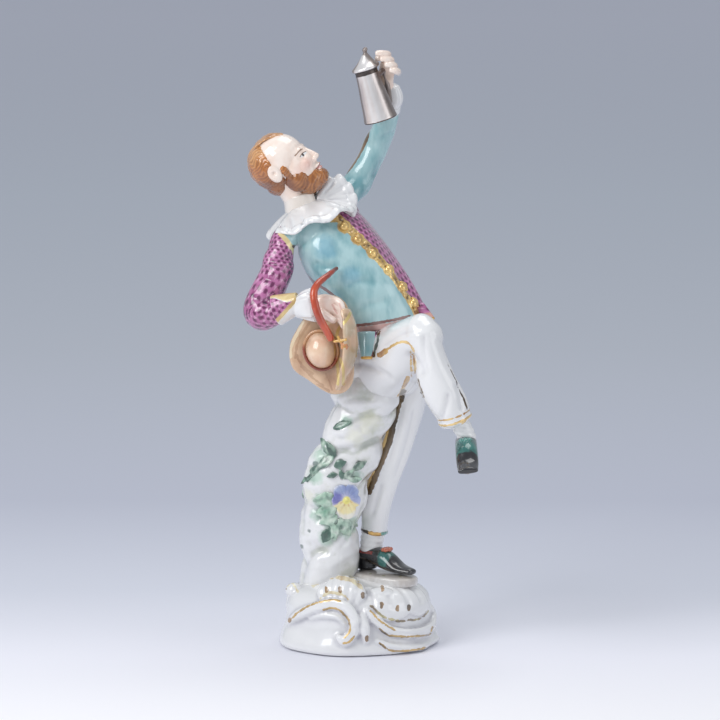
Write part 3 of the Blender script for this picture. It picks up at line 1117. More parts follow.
# The sleeves, also parti-coloured but the other way about: purple scales on the lowered
# right arm and brushed turquoise on the raised left one. Folds are modelled into both.
sleeve_grain = 0.37
right_sleeve_stations = [[-19, 1, 140.5, 4.4], [-24.2, -2.4, 136.6, 4.2], [-25.7, -5.2, 131.6, 4.8],
                         [-27, -7.2, 125.8, 5.5], [-31.8, -10.4, 114, 5.9], [-26, -13.4, 115.2, 4.7],
                         [-19.6, -15.6, 117.6, 3.3]]
left_sleeve_stations = [[-8, 11, 142, 5.6], [-4.4, 15, 148, 5], [0.6, 20, 153.4, 4.6], [5.6, 22.5, 163, 4.3],
                        [9, 21, 171, 4.1], [10.6, 18, 178.4, 3.5]]


def sleeve_relief(angle, share):
    """Folds that wind round the arm and bunch at the elbow."""
    return 1 + 0.035 * np.cos(2 * angle + 24 * share) + 0.02 * np.cos(3 * angle - 31 * share)


right_sleeve = Clay([bar(right_sleeve_stations, around=60, along=80, relief=sleeve_relief, blunt=0.5)],
                    sleeve_grain)
right_sleeve.carve_all([
    [(252, 296), (264, 302), (280, 304)], [(262, 320), (268, 308), (270, 296)],
    [(268, 262), (280, 262), (294, 256)], [(258, 276), (272, 280), (288, 276)],
    [(266, 240), (280, 246), (290, 252)]], 1.0, -0.5)


def sleeve_scales(clay):
    """Where points lie among the right sleeve's scales: round the arm, and along it."""
    up, turn, length, _ = round_route(clay.points, right_sleeve_stations, (0, 1, 0))
    turn = turn % (2 * math.pi) * scales_round_arm / (2 * math.pi)
    return {"round": turn, "along": up * length / scale_size}


at_armhole = [(281, 234), (289, 243), (295.5, 253), (299, 263)]
armhole_left = pictured([(283, 0)])[0][0]
below_armhole = right_sleeve.below(at_armhole)
beyond = np.minimum(-below_armhole, right_sleeve.seen()[:, 0] - armhole_left) - 20 * (below_armhole == -9)
right_sleeve.fired(
    "right_sleeve", "purple_scaled_sleeve", scaly(), area("beyond", beyond, *turquoise, soft=0.3),
    line("armhole", right_sleeve.near(at_armhole), 1.5, (0.86, 0.7, 0.38), (0.58, 0.38, 0.13), metal=0.2,
         waver=0.4),
    area("blots", right_sleeve.blots([(294.5, 247, 0.55), (298, 262.5, 0.7)]), (0.1, 0.03, 0.02),
         (0.03, 0.01, 0.01), soft=0.3), **sleeve_scales(right_sleeve))

left_sleeve = Clay([bar(left_sleeve_stations, around=60, along=80, relief=sleeve_relief, blunt=0.5)],
                   sleeve_grain)
left_sleeve.carve_all([[(372, 178), (380, 168), (384, 156)], [(364, 196), (376, 186), (386, 172)],
                       [(380, 140), (390, 134), (400, 132)]], 0.9, -0.4)
inner_seam = left_sleeve.near([(343, 175), (351, 167), (360, 153), (367, 139), (370, 124)])
left_sleeve.fired("left_sleeve", "turquoise_sleeve", wash(*turquoise),
                  line("seam", inner_seam, 1.1, (0.26, 0.16, 0.08), (0.06, 0.035, 0.02), metal=0.2,
                       waver=0.3))

# Turned-back cuffs: a rolled white band at each wrist. The right one shows the sleeve's
# scales inside it and has gilt edges.
cuff_grain = 0.27
left_cuff = stance([10.6, 18.2, 178], [1, 0, 0], [-0.02, 0.4, -0.9])
left_cuff_half = 3.9
right_cuff_stations = [[-26.4, -13.8, 115, 5.3], [-23, -14.8, 116.4, 4.5], [-19, -15.8, 118, 3.5]]
cuff_forms = [bar(right_cuff_stations, side=(0, 0, 1), around=60, along=40, blunt=0.1,
                  relief=lambda angle, share: 1 + 0.03 * np.cos(3 * angle + 1))]
left_cuff_outline = left_cuff_half * np.array([[0.8, 0], [0.98, 0], [1, 0], [0.95, 0], [0.72, 0]])
left_cuff_outline[:, 1] = -1.4, -1.17, 0, 1.3, 2.7
fine_cuff = spline(left_cuff_outline, np.linspace(0, 1, 20))


def cuff_rule(rings):
    return rings * (1 + 0.03 * np.cos(5 * np.arctan2(rings[..., 1:2], rings[..., 0:1])))


fine_cuff = np.vstack([[[0.05, -1.3]], fine_cuff, [[0.05, 2.7]]])
cuff_forms.append(turned(fine_cuff, 60, left_cuff, cuff_rule))
cuffs = Clay(cuff_forms, cuff_grain, 3)
lower_arm = [(274, 325), (281, 318), (290, 308), (300, 297)]
upper_arm = [(276, 299), (288, 303), (300, 300)]
between_cuffs = 140
on_left = cuffs.points[:, 2] > between_cuffs
cuff_gap = cuffs.near(lower_arm) + 9 * on_left
from_above = cuffs.below(upper_arm)
upper = np.where(~on_left & (from_above > -9), -from_above - 0.2, -9)
cuffs.fired(
    "turned_back_cuffs", "gilt_edged_cuffs",
    area("cream", 0.9 - cuff_gap - 9 * on_left, (0.8, 0.68, 0.42), (0.66, 0.5, 0.25), soft=0.5, waver=0.5,
         strength=0.6),
    scaly("inside", np.minimum(from_above, -cuffs.below(lower_arm)) - 20 * on_left),
    area("upper", upper, (0.84, 0.68, 0.36), (0.6, 0.4, 0.14), soft=0.3, waver=0.4),
    line("edging", cuff_gap, 1.2, (0.78, 0.58, 0.24), (0.46, 0.28, 0.07), metal=0.3, strength=0.9),
    **sleeve_scales(cuffs))

# Shirt frills: a pinched ruff of thin porcelain, left white, between each cuff and hand,
# with a brown shade inside the raised one.
frill_grain = 0.28
frill_rows = [[[-20, -15.4, 116, 3.4], [-16.6, -16.6, 117, 5], [-14.4, -17.2, 117.4, 5.4]],
              [[10.8, 18, 178.6, 3.2], [11.7, 17, 181.6, 3.6], [11.3, 16, 185.6, 2.7]]]
frills = Clay([bar(stations, around=90, along=30, blunt=0.25,
                   relief=lambda angle, share: 1 + 0.09 * share * np.cos(9 * angle + 2 * np.sin(3 * angle)))
               for stations in frill_rows], frill_grain, 3)
frills.fired("shirt_frills", "white_frills",
             area("shade", frills.blots([(386, 76, 1.8), (388, 70, 1.6)]), (0.5, 0.4, 0.34),
                  (0.34, 0.25, 0.2), waver=0.6, soft=1.4, strength=0.7))

# The collar is one broad cape of lace-edged linen, scalloped at its hem and thrown up
# in pleats over the raised shoulder. A few grey dots stand for the lace holes.
collar_grain = 0.32
collar_pose = stance([-16.8, 6.8, 146.2], [0.71, -0.71, 0.2], [-0.34, 0.1, 0.93])
collar_reach = 15.6
collar_droop = 5.3
collar_rise = 0.9
collar_waves = 8
collar_thickness = 2.4


def cape_rule(disc):
    """Bends a flat disc into a drooping, waved and scalloped cape."""
    x, y = disc[..., 0] / collar_reach, disc[..., 1] / collar_reach
    angle, radius = np.arctan2(y, x), np.hypot(x, y)
    scallop = 1 + 0.035 * np.abs(np.sin(1.5 * collar_waves * angle)) * stepped(radius, 0.8, 1)
    wave = 0.06 * collar_reach * np.cos(collar_waves * angle) * radius ** 2
    height = disc[..., 2] + collar_rise * (1 - radius) - collar_droop * radius ** 2 + wave
    return np.stack([disc[..., 0] * scallop, disc[..., 1] * scallop, height], -1)


def disc_outline(reach, steps, first, second):
    """The outline of a disc, from the middle of one face round its rim to that of the other."""
    outward, inward = np.linspace(0.08, 0.98, steps), np.linspace(0.97, 0.08, steps)
    outline = [[0.02, first(0)], *([reach * share, first(share)] for share in outward), [reach, 0]]
    return outline + [*([reach * share, second(share)] for share in inward), [0.02, second(0)]]


half = collar_thickness / 2
cape_outline = disc_outline(collar_reach, 18, lambda share: half * (1 - 0.45 * share ** 4),
                            lambda share: -half * 0.7)
collar_forms = [turned(cape_outline[::-1], 144, collar_pose, cape_rule)]
throat = np.array([-12.6, 5.6, 149.2])
for *tip, wide in ([-8.6, 8, 155.2, 2], [-5, 8.6, 155.4, 2.3], [-2.2, 8, 152.4, 2.4], [-0.8, 6.2, 148.8, 2.4],
                   [-1.2, 3.6, 145.2, 2.2]):
    middle = throat + 0.6 * (np.array(tip) - throat)
    collar_forms.append(bar([[*throat, 1.5, 1.4], [*middle, wide * 0.85, 1.6], [*tip, wide, 1.4]],
                            side=(0.4, -0.3, -0.85), around=28, blunt=0.8,
                            relief=lambda angle, share: 1 + 0.06 * share * np.cos(4 * angle)))
collar = Clay(collar_forms, collar_grain, 3)
collar.carve_all([
    [(322, 196), (330, 189), (337, 180)], [(324, 198), (336, 193), (348, 187)],
    [(325, 200), (338, 199), (354, 199)], [(325, 204), (338, 206), (354, 211)],
    [(276, 222), (284, 230), (288, 238)], [(300, 216), (306, 228), (308, 236)],
    [(290, 214), (292, 226), (292, 236)]], 0.7, -0.45, 0.3)
on_collar = local(collar_pose, collar.points)
collar_turn = np.arctan2(on_collar[:, 1], on_collar[:, 0])
collar_radius = np.hypot(on_collar[:, 0], on_collar[:, 1])
collar.swell(0.16 * np.exp(-((collar_radius - collar_reach * 0.93) / 0.5) ** 2))
lace_rings = 24
round_lace = (np.mod(collar_turn * lace_rings / (2 * math.pi), 1) - 0.5) * 3.6
hole_places = [(303, 225, 0.5), (304, 230, 0.4), (327, 224, 0.5), (289, 232, 0.4), (316, 228, 0.35)]
collar.fired(
    "lace_collar", "lace_collar",
    line("lace", np.hypot(round_lace, collar_radius - collar_reach * 0.9), 0.7, (0.55, 0.57, 0.6),
         (0.4, 0.42, 0.45), waver=0.3, strength=0.5),
    area("holes", collar.blots(hole_places), (0.4, 0.42, 0.45), (0.25, 0.27, 0.3), waver=0.3, soft=0.4,
         strength=0.7))

# The neck band of the shirt is a low roll of paste luted round the neck. It is washed
# cream, with a thin brown line at its upper edge.
band_grain = 0.32
band_top = 151.4
band_stations = [[-17.4, 8.4, 145, 6.8], [-18.4, 8.2, 148.2, 6.1], [-19.2, 8.2, 150.6, 5.8]]
neck_band = Clay([bar(band_stations, around=60, along=10, blunt=0.25)], band_grain, 3)
neck_band.fired("neck_band", "cream_neck_band", wash((0.86, 0.8, 0.74), (0.74, 0.66, 0.58)),
                line("edge", np.abs(neck_band.points[:, 2] - band_top), 0.5, (0.5, 0.34, 0.2), waver=0.2,
                     strength=0.5))

# The ribbon knot where the band is tied: two small balls of paste pressed on together
# and painted black.
knot_grain = 0.17
knot_place = np.array([-13.9, 5.2, 150.2])
knot = Clay([egg(knot_place + [0.1, 0, 0.4], [0.7, 0.8, 0.7]),
             egg(knot_place + [0.2, -0.3, -1.2], [0.5, 0.6, 1.7])], knot_grain, 2)
knot.fired("neck_knot", "black_ribbon", wash((0.02, 0.016, 0.016), (0.008, 0.006, 0.006)))

# The head is thrown back. Its face is a plain, calm one of ordinary proportions, pressed
# from one mould with the neck. The brows, eyes and lips are painted in thin enamel.
head_grain = 0.235
head_scale = 23.6 / 23
head_pose = stance([-25.6, 7, 161.6], [0.77, -0.24, 0.59], [-0.61, 0, 0.79], head_scale)
eye_level = -2.2
eye_apart = 2.9
eye_forward = 8.2


def head_egg(place, halves, **more):
    return egg(place, halves, head_pose, **more)


nose = ((9.2, 0, -1.4, 0.9), (10.4, 0, -3.6, 1.0), (11.0, 0, -5.4, 1.25))
face_forms = [
    head_egg([0, 0, 1], [9, 7.7, 8.2]), head_egg([3, 0, -4.2], [7.4, 6.4, 8.4]),
    head_egg([4.4, 0, -8.6], [4.9, 4.6, 4.2]), head_egg([7.6, 0, -11.2], [2.4, 2.6, 2.2]),
    head_egg([6.4, 2.9, -4.9], [2.8, 2.7, 2.9]), head_egg([6.4, -2.9, -4.9], [2.8, 2.7, 2.9]),
    bar([[*placed(head_pose, place), wide, wide * 0.9] for *place, wide in nose],
        side=tuple(head_pose[0][1]), around=24),
    head_egg([10.2, 1.0, -5.7], [1.0, 0.95, 0.85]), head_egg([10.2, -1.0, -5.7], [1.0, 0.95, 0.85]),
    head_egg([9.4, 0, -8.0], [1.25, 2.1, 0.75]), head_egg([9.2, 0, -9.1], [1.3, 1.8, 0.8]),
    bar([[-23.4, 7.6, 156, 5.6], [-20, 8, 150.6, 5.2], [-16.4, 8.4, 144.4, 5.8]], around=48),
]
for side in (-1, 1):
    face_forms.append(head_egg([-1.4, side * 7.5, -1.2], [2.3, 1.3, 3.3]))
head = Clay(face_forms, head_grain, 5)


def in_head(*places):
    return [placed(head_pose, np.array(place)) for place in places]


for side in (-1, 1):
    brow_bone = in_head((8.6, side * 1.6, -0.6), (8.4, side * 3.4, -0.2), (6.6, side * 5.2, -1.2))
    head.press(brow_bone, 1.0, 0.45, 0.3)
    socket = in_head((8.8, side * 1.4, eye_level), (8.2, side * 3.2, eye_level), (6.4, side * 4.8, eye_level))
    head.press(socket, 1.3, -0.95, 0.3)
    ball = placed(head_pose, np.array([eye_forward - 0.95, side * eye_apart, eye_level]))
    reach = np.linalg.norm(head.points - ball, axis=1)
    head.swell(0.75 * np.exp(-(reach / 1.35) ** 4))
    for line_in_head, width, depth, ends in (
            # The upper and lower lids, the ear's rim and hollow, and the fold beside the mouth.
            (((8.7, 1.6, eye_level - 0.1), (8.4, 2.9, eye_level + 0.75), (6.9, 4.3, eye_level - 0.2)),
             0.3, 0.22, 0.2),
            (((8.6, 1.7, eye_level - 0.3), (8.2, 2.9, eye_level - 0.8), (6.9, 4.2, eye_level - 0.3)),
             0.28, 0.14, 0.2),
            (((-0.2, 8.4, 0.9), (-1.9, 8.8, 1.3), (-3.1, 8.8, -0.4), (-2.4, 8.7, -2.4), (-0.9, 8.3, -3.8)),
             0.4, 0.45, 0.15),
            (((-0.5, 8.7, -0.4), (-1.5, 8.8, -1.8)), 0.75, -0.7, 0.3),
            (((10.6, 1.9, -5.4), (9.4, 2.9, -7.4)), 0.45, -0.18, 0.3)):
        line_in_head = in_head(*((forward, side * out, up) for forward, out, up in line_in_head))
        head.press(line_in_head, width, depth, ends)
head.press(in_head((9.6, 2.3, -8.6), (10.6, 0, -8.45), (9.6, -2.3, -8.6)), 0.3, -0.5, 0.25)
head.press(in_head((11.0, 0, -6.6), (10.5, 0, -7.3)), 0.4, -0.18, 0.3)
head.smooth(1)
on_head = local(head_pose, head.points)
f, l, u = on_head.T
side_l = np.abs(l)
front = f > 4
eye_x, eye_u = side_l - eye_apart, u - eye_level
white_of_eye = np.where(front, 0.5 - np.abs(eye_u + 0.05) - 0.32 * (eye_x / 1.15) ** 2, -1)
iris = np.where(front, 0.5 - np.hypot(eye_x - 0.1, eye_u), -1)
lid = np.abs(eye_u - 0.5 + 0.3 * (eye_x / 1.2) ** 2) + 4 * np.maximum(np.abs(eye_x) - 1.35, 0)
lid = np.where(front, lid, 9)
brow = np.abs(eye_u - 1.75 + 0.1 * (eye_x - 0.2) ** 2) + 3 * np.maximum(np.abs(eye_x - 0.2) - 1.7, 0)
brow = np.where(front, brow, 9)
lips = np.where(f > 7, 0.95 - np.abs(u + 8.55) - 0.24 * side_l ** 1.6, -1)
parting = np.where(f > 7, np.abs(u + 8.5 - 0.02 * side_l ** 2) + 4 * np.maximum(side_l - 2.1, 0), 9)
blush = 1.6 - np.sqrt((side_l - 4.2) ** 2 + (u + 5.2) ** 2) - 9 * (f < 3)
skin = ((0.94, 0.82, 0.74), (0.88, 0.68, 0.57))
head.fired(
    "head", "painted_face", wash(*skin),
    area("blush", blush, (0.82, 0.38, 0.3), (0.75, 0.3, 0.24), waver=0.4, soft=2.2, strength=0.45),
    area("lips", lips, (0.6, 0.16, 0.13), (0.45, 0.1, 0.09), soft=0.25, strength=0.8),
    line("parting", parting, 0.16, (0.3, 0.07, 0.06), waver=0.05, strength=0.7),
    area("white_of_eye", white_of_eye, (0.84, 0.84, 0.84), (0.8, 0.8, 0.8), soft=0.1, waver=0.05),
    area("iris", np.minimum(iris, white_of_eye + 0.1), (0.08, 0.045, 0.03), (0.03, 0.02, 0.015), soft=0.1,
         waver=0.03),
    line("lid", lid, 0.26, (0.14, 0.07, 0.04), waver=0.05),
    line("brow", brow, 0.45, (0.3, 0.14, 0.06), waver=0.1, strength=0.85))

# Hair and beard are rolls of paste laid over the head and combed with a tool, then painted
# auburn with darker strokes in the grooves and a darker nape.
hair_grain = 0.29


def hair_cap(ball):
    """Trims the ball of hair in front, so that the face stays clear."""
    ball = ball.copy()
    ball[..., 0] -= np.clip(ball[..., 0] - 0.28, 0, None) * 0.9
    return ball


parting_roll = ((-2.5, 0, 9.0, 4.6), (1.4, 0.2, 9.0, 3.6), (4.2, 0.3, 7.9, 2.6), (6.2, 0.4, 6.5, 1.2))
hair = Clay([
    head_egg([-2.6, 0, 0.6], [7.8, 8.5, 8.6], rule=hair_cap, around=64),
    head_egg([-4.2, 0, -5.2], [4.6, 6.2, 4.5]),
    head_egg([4.2, 0, -10.4], [5.6, 5.6, 4.6]), head_egg([7.6, 0, -11.4], [3.2, 3.4, 3.0]),
    head_egg([2.4, 5.0, -7.6], [3.8, 2.0, 3.8]), head_egg([2.4, -5.0, -7.6], [3.8, 2.0, 3.8]),
    head_egg([1.7, 6.5, -2.6], [1.2, 0.9, 4.0]), head_egg([1.7, -6.5, -2.6], [1.2, 0.9, 4.0]),
    bar([[*placed(head_pose, place), wide, 0.6] for *place, wide in parting_roll],
        side=tuple(head_pose[0][1]), around=40),
], hair_grain, 4)
on_hair = local(head_pose, hair.points)
hf, hl, hu = on_hair.T
chin_share = stepped(-hu, 5.5, 8) * stepped(hf, -1, 1.5)
unrest = rippled(hair.points, 5, 22)
fine = rippled(hair.points, 2, 23)
comb = np.cos(np.arctan2(hl, hu + 1) * 46 + 2.2 * np.sin(hf * 0.9) + 3 * unrest + 1.2 * fine)
comb = comb * (1 - chin_share)
comb_beard = np.cos(np.arctan2(hl, -(hu + 4)) * 40 + 1.8 * np.sin(hu * 1.9) + 1.4 * hf + 3 * unrest)
comb_beard = comb_beard * chin_share
hair.swell(0.06 * (comb + comb_beard) + 0.14 * rippled(hair.points, 4, 21) + 0.05 * fine)
strokes = -(comb + comb_beard) - 0.35 + 0.5 * unrest
hair.fired(
    "hair_and_beard", "auburn_hair", wash((0.6, 0.23, 0.055), (0.34, 0.1, 0.02)),
    area("crown", hu - 5 + unrest, (0.7, 0.42, 0.2), (0.52, 0.26, 0.1), waver=0.8, soft=2.5, strength=0.6),
    area("beard", -hu - 5 + hf, (0.48, 0.19, 0.05), (0.24, 0.075, 0.016), waver=0.6, soft=2, strength=0.8),
    area("nape", np.minimum(-hu - 3.5 - 0.4 * hf, 4 - 2 * hf), (0.26, 0.085, 0.025), (0.13, 0.04, 0.015),
         waver=0.8, soft=4, strength=0.8),
    area("strokes", strokes, (0.26, 0.08, 0.02), (0.13, 0.035, 0.012), waver=1.2, soft=1.2, strength=0.5))

# The hands are rolls of paste: a palm, four fingers and a thumb each, bent round the hat's
# brim and the tankard's handle. They are washed in pale flesh enamel, darker between.
hand_grain = 0.23
hand_forms = [
    bar([[-15, -17, 117.2, 3, 2.4], [-10.6, -18, 117.4, 3.8, 2.4], [-8, -18.6, 117, 3.6, 2]], side=(0, 0, 1)),
    bar([[-12, -18, 116, 1.5], [-11, -20, 115, 1.45], [-7.6, -22.2, 113, 1.15]]),
    bar([[10, 15.6, 184.6, 2.4, 2.2], [9.6, 14, 188.6, 2.7, 2.4], [10.4, 12.8, 193.4, 2.8, 2.2]],
        side=(1, 0, 0)),
    bar([[10.4, 13.4, 194.6, 1.4], [8.6, 12, 196.2, 1.25], [6.8, 10.4, 195.8, 1.05]]),
]
for finger in range(4):
    down, tilt = 1.9 * finger, 1.6 * finger
    hand_forms.append(bar([[-8.6, -18.6, 119.8 - down, 1.2], [-5.6, -20.8, 118.6 - down, 1.15],
                           [-4.4, -21.4, 115.6 - tilt, 0.95]]))
    inward, rise = 1.1 * finger, 1.92 * finger
    tip = 2.4 - 0.85 * finger
    hand_forms.append(bar([[13.7 - inward, 12.4, 190.8 + rise, 1.2], [13.4 - inward, 8.6, 191.7 + rise, 1.2],
                           [11 - 0.8 * inward + 0.6 * tip, 6.9, 192.2 + rise, 1.1],
                           [8.9 - 0.6 * inward + tip, 6.6, 192.3 + rise, 0.95]]))
hands = Clay(hand_forms, hand_grain, 3)
hands.fired(
    "hands", "painted_hands", wash(*skin),
    area("between", hands.hollows(14) * 3 - 0.35, (0.62, 0.32, 0.24), (0.5, 0.24, 0.18), waver=0.1, soft=0.3,
         strength=0.6),
    area("shaded", hands.blots([(383, 82, 2.6), (388, 78, 1.6)]), (0.6, 0.44, 0.32), (0.4, 0.27, 0.18),
         waver=0.6, soft=1.6, strength=0.7),
    line("knuckles", hands.near([(333, 305), (338, 314)], [(340, 304), (345, 315)]), 0.6,
         (0.74, 0.36, 0.3), (0.6, 0.24, 0.2), waver=0.3, strength=0.5))

# The hat is a felt one turned back: a flat lobed brim seen from below, its dome toward the
# viewer, and a folded flap. It is painted tan and peach, with brushed creases and gold edges.
hat_grain = 0.32
hat_pose = stance([-10.4, -16.4, 102.4], [0.97, 0.06, 0.22], [-0.06, -1, 0.06])
brim_half = 15.5
brim_lobes = ((1.2, 0.56), (-1.45, 0.4), (3.14, 0.12), (-2.6, 0.12), (2.26, 0.1))
brim_thickness = 2.4
dome_half = 5.8
dome_place = np.array([-1.4, 0.2, 1.6])
dome_shape = np.array([0.88, 1.06, 1.15])


def brim_rule(disc):
    x, y = disc[..., 0] / brim_half, disc[..., 1] / brim_half
    angle, radius = np.arctan2(y, x), np.hypot(x, y)
    reach = 0.62 + sum(extra * np.maximum(0, np.cos(angle - turn)) ** 5 for turn, extra in brim_lobes)
    upturn = 2.6 * np.maximum(0, np.cos(angle + 0.1)) * radius ** 2 - 0.8 * radius ** 2
    return np.stack([disc[..., 0] * reach, disc[..., 1] * reach, disc[..., 2] + upturn], -1)


half = brim_thickness / 2
brim_outline = disc_outline(brim_half, 16, lambda share: -half * (1 - 0.4 * share ** 4),
                            lambda share: half * (1 - 0.4 * share ** 4))
flap_stations = [[-3.6, -21, 116, 1.2, 3], [-2.2, -23, 110, 1.3, 4.2], [-2.4, -23.6, 101, 1.3, 4.4],
                 [-4.6, -21.6, 94, 1.2, 3.4], [-6, -19.6, 90.4, 1, 2]]
hat = Clay([turned(brim_outline, 120, hat_pose, brim_rule),
            egg(dome_place, dome_half * dome_shape, hat_pose, around=64),
            bar(flap_stations, side=(0.85, -0.5, 0), around=40, along=40, blunt=0.8)], hat_grain, 4)
hat.swell(0.1 * rippled(hat.points, 7, 31))
on_hat = local(hat_pose, hat.points)
dome_radius = np.hypot(*((on_hat - dome_place) / dome_shape)[:, :2].T)
hat_creases = hat.near([(310, 324), (303, 334), (298, 346), (296, 358)], [(302, 366), (312, 376), (324, 386)],
                       [(296, 352), (302, 364), (314, 374)], [(318, 384), (330, 391)],
                       [(327, 374), (331, 384), (333, 390)])
hat_shade = np.maximum(hat.blots([(314, 328, 1.6), (304, 339, 2.4), (330, 378, 2.0)]),
                       1.2 - np.abs(dome_radius - 6.9))
hat_folds = [(344, 321, 1.0), (347, 316.5, 0.7), (341.5, 326, 0.8), (339.5, 344, 0.5), (339, 372, 0.6)]
hat_rim = hat.near([(304, 322), (297.6, 334.7), (292, 347), (291.5, 357)],
                   [(342, 314), (334, 321), (322, 326)])
hat_edge = hat.near([(351, 313.6), (347.6, 320), (341, 327), (337.6, 335), (336.4, 350), (338.7, 370),
                     (338.7, 384)], [(341, 359), (344, 369), (344, 384)])
hat.fired(
    "felt_hat", "tan_felt_hat", wash((0.72, 0.5, 0.33), (0.54, 0.33, 0.2)),
    area("dome", np.minimum(5.4 - dome_radius, on_hat[:, 2] - 2), (0.88, 0.68, 0.5), (0.78, 0.5, 0.33),
         waver=0.5, soft=1.2),
    area("blush", hat.blots([(313, 343, 2.6), (322, 362, 2.8), (326, 340, 1.6)]), (0.8, 0.5, 0.34),
         (0.66, 0.36, 0.22), waver=1.2, soft=2.5, strength=0.6),
    line("creases", hat_creases, 0.7, (0.42, 0.24, 0.13), (0.28, 0.13, 0.07), waver=0.5, strength=0.55),
    area("shade", hat_shade, (0.44, 0.27, 0.14), (0.28, 0.14, 0.07), waver=0.9, soft=2.4, strength=0.65),
    area("grey", hat.blots([(356, 358, 3.6), (349, 330, 2.4), (343, 344, 2.0)]), (0.56, 0.47, 0.33),
         (0.34, 0.27, 0.16), waver=0.9, soft=2.0, strength=0.7),
    area("folded", hat.blots(hat_folds), (0.2, 0.13, 0.06), (0.1, 0.06, 0.03), waver=0.4, soft=0.8,
         strength=0.7),
    line("rim", hat_rim, 1.1, (0.86, 0.74, 0.54), (0.74, 0.58, 0.36), waver=0.4, strength=0.8),
    line("edging", hat_edge, 1.0, (0.84, 0.64, 0.24), (0.42, 0.24, 0.06), metal=0.3))

# The hat band is a thin roll of paste laid round the dome, painted brown, and dark red
# where it shows most.
hat_band_grain = 0.2
band_turn = np.linspace(0, 2 * math.pi, 41)
band_ring = np.stack([5.5 * np.cos(band_turn) - 1.4, 6.5 * np.sin(band_turn) + 0.2, np.full(41, 2.4)], 1)
hat_band = Clay([bar([[*place, 0.55] for place in placed(hat_pose, band_ring)], side=tuple(hat_pose[0][2]),
                     around=20, along=160)], hat_band_grain, 3)
hat_band.fired("hat_band", "rust_band", wash((0.6, 0.34, 0.18), (0.4, 0.18, 0.08)),
               area("dark", hat_band.blots([(312, 366, 5.4), (322, 371, 4), (334, 362, 2), (300, 352, 2.6)]),
                    (0.36, 0.07, 0.03), (0.18, 0.03, 0.015), soft=1.5))

# A rosette of pinched ribbon loops, pressed on the turned-up flap and painted orange, with
# a gilt knot of two short rolls over it.
hat_rosette_grain = 0.16
rosette_place = np.array([-4.1, -27, 105])
hat_rosette_forms = [egg(rosette_place + [0, 0.3, 0], [0.9, 0.8, 0.9])]
for turn in np.linspace(0, 2 * math.pi, 7, endpoint=False):
    loop = rosette_place + [0.8 * math.cos(turn), 0.2, 0.8 * math.sin(turn)]
    hat_rosette_forms.append(egg(loop, [0.58, 0.6, 0.58], around=16))
hat_rosette_forms.append(bar([[-7.4, -26, 106.6, 0.5], [-3.6, -27, 107.4, 0.5]], around=12))
hat_rosette_forms.append(bar([[-6.2, -26.2, 108.2, 0.45], [-5, -26.8, 106, 0.45]], around=12))
hat_rosette = Clay(hat_rosette_forms, hat_rosette_grain, 2)
rosette_heart = np.linalg.norm(hat_rosette.points - rosette_place - [0, -0.6, 0], axis=1)
hat_rosette.fired("hat_rosette", "orange_rosette", wash((0.66, 0.3, 0.12), (0.4, 0.14, 0.05)),
                  line("heart", rosette_heart, 0.8, gold, metal=0.5),
                  area("knot", hat_rosette.points[:, 2] - rosette_place[2] - 1.5, gold, (0.5, 0.28, 0.08),
                       soft=0.2))

# The plume is one thin rolled strip that curls up and back over the cuff, glossy red with a
# dark tip.
plume_grain = 0.2
plume_route = [[-8.6, -24.8, 107.4, 1.2], [-9.8, -25.2, 109.8, 1.3], [-12.2, -26, 114.3, 1.35],
               [-13.7, -25.6, 118.7, 1.35], [-14.2, -24.3, 122.6, 1.3], [-12.9, -22, 125.2, 1.2],
               [-9.6, -17.8, 127.4, 1.0], [-6.7, -12.8, 128.9, 0.65]]
plume = Clay([bar(plume_route, around=24, along=120)], plume_grain, 2)
along_plume = from_line(plume.points, [row[:3] for row in plume_route])[1]
plume.swell(0.05 * rippled(plume.points, 3, 33))
plume.fired("hat_plume", "red_plume", wash((0.56, 0.075, 0.02), (0.3, 0.025, 0.01)),
            area("tip", (along_plume - 0.93) * 5, (0.16, 0.03, 0.02), (0.08, 0.015, 0.012), soft=0.3),
            roughness=0.18)

# The tankard is one turned form with its lid and finial, fired in one with the hand. It is
# covered in silver, polished at the front, with dark tarnish at its sides and mouldings.
tankard_grain = 0.25
tankard_pose = stance([8.2, 8, 174.8], [0.957, 0, 0.288], [-0.288, 0, 0.957])
tankard_foot = 5.65
tankard_mouth = 3.8
tankard_height = 18.4
lid_height = 5.4
lid_lean = 0.26
body_outline = [(0.94, 0.7), (1, 1.0), (0.985, 1.8), (0.95, 3), (0.91, 4.6), (0.85, 8)]
mouth_outline = [(1.1, 13), (1.02, tankard_height - 1.8), (1.02, tankard_height - 0.2),
                 (1.2, tankard_height + 0.1), (1.24, tankard_height + 0.8), (1.1, tankard_height + 1.3),
                 (0.76, tankard_height + lid_height * 0.46), (0.44, tankard_height + lid_height * 0.75),
                 (0.2, tankard_height + lid_height - 0.1)]
lid_top = tankard_height + lid_height
finial_outline = [[0.6, lid_top + 0.2], [0.95, lid_top + 0.9], [0.7, lid_top + 1.6]]
tankard_outline = [[tankard_foot * share, height] for share, height in body_outline]
tankard_outline += [[tankard_mouth * share, height] for share, height in mouth_outline]
fine_tankard = np.vstack([[[0.02, 0.7]], spline(tankard_outline + finial_outline, np.linspace(0, 1, 120)),
                          [[0.02, lid_top + 1.95]]])
fine_tankard[:, 0] = np.maximum(fine_tankard[:, 0], 0.02)


def leaning_lid(rings):
    rings[..., 0] += lid_lean * np.maximum(0, rings[..., 2] - tankard_height)
    return rings


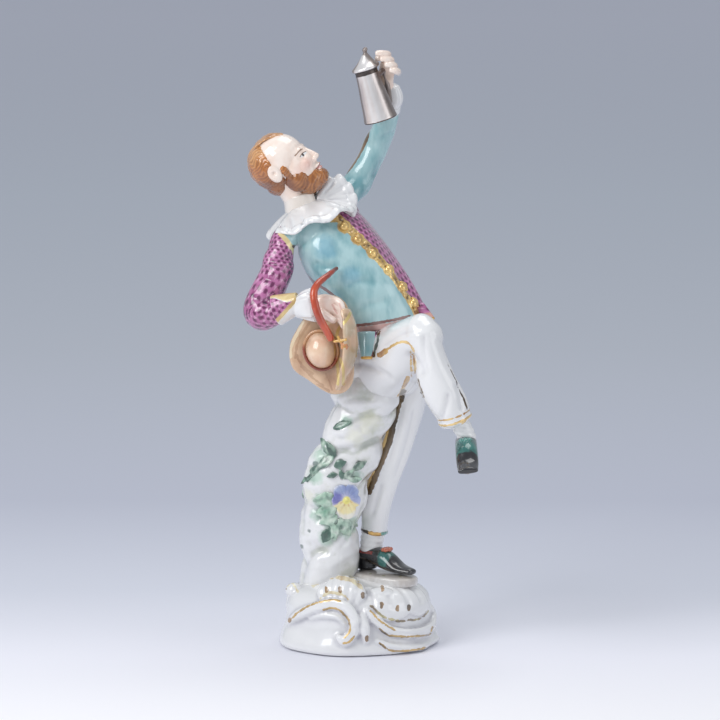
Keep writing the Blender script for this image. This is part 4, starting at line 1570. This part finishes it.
handle_top, handle_foot = [placed(tankard_pose, np.array(place)) for place in
                           ([tankard_mouth * 0.8, 1, tankard_height - 3.4], [tankard_foot * 0.8, 1.6, 5.4])]
tankard = Clay([turned(fine_tankard, 80, tankard_pose, leaning_lid),
                bar([[*handle_top, 0.9], [8.6, 11.2, 191.6, 0.9], [9.4, 12.2, 189.4, 0.9],
                     [10.4, 12.4, 185.2, 0.9], [*handle_foot, 0.9]], around=20, along=60)], tankard_grain, 3)
across, deep, up = local(tankard_pose, tankard.points).T
mouldings = np.minimum(np.abs(up - tankard_height + 0.7), np.abs(up - 0.7) + 0.4)
mouldings = np.where(np.hypot(across, deep) < np.where(up > 10, 4.9, 6), mouldings, 9)
tankard_turn = np.arctan2(deep, across) + math.pi / 2
tankard_turn = wrapped(tankard_turn)
marks = 0.4 * np.sin(tankard_turn * 9) + 0.3 * np.sin(tankard_turn * 17 + 2)
bright = np.where(up > tankard_height, 2.2, 0.9) - np.abs(tankard_turn + 0.1) * 3 + marks
tankard.fired(
    "lidded_tankard", "silvered_tankard", wash((0.86, 0.79, 0.76), (0.62, 0.55, 0.53), metal=0.65),
    area("bright", bright, (0.9, 0.88, 0.88), (0.82, 0.8, 0.79), waver=0.4, soft=1.6, strength=0.8),
    area("streaks", (np.abs(tankard_turn + 0.12) - 0.86) * 4 + marks, (0.2, 0.15, 0.13),
         (0.07, 0.05, 0.045), waver=0.4, soft=1.6, strength=0.75),
    line("moulding", mouldings, 1.7, (0.08, 0.05, 0.04), (0.02, 0.015, 0.012), waver=0.15, strength=0.95),
    roughness=0.22, glazing=0.35)

# A plain slab of paste under the standing shoe joins the dancer to the mound. It is washed
# grey-brown round the shoe.
slab_grain = 0.38
slab_pose = stance([9.3, -3, 22.2], [0.8, -0.58, 0], [0, 0, 1])


def slab_rule(disc):
    x, y, z = disc[..., 0], disc[..., 1], disc[..., 2]
    flat = np.sign(z) * np.abs(z) ** 0.35
    return np.stack([np.sign(x) * np.abs(x) ** 0.8, np.sign(y) * np.abs(y) ** 0.8, flat], -1)


slab = Clay([egg([0, 0, 0], [12.3, 6.5, 2], slab_pose, slab_rule, 90)], slab_grain, 4)
slab_dots = np.min([np.linalg.norm(slab.points - np.array(place), axis=1) for place in
                    ((4.5, -4.5, 24.3), (9, -7.5, 24.3), (14.5, -9.5, 24.3))], axis=0)
under_shoe = 4.6 - from_line(slab.points, [[1, 1, 24], [8, -5, 24], [16, -9.5, 24]])[0]
slab.fired("ground_slab", "white_slab",
           area("shade", under_shoe, (0.36, 0.3, 0.25), (0.2, 0.16, 0.13), waver=1.0, soft=2.5,
                strength=0.65),
           line("dots", slab_dots, 1.2, (0.3, 0.3, 0.14), (0.14, 0.14, 0.06), waver=0.3, strength=0.7))
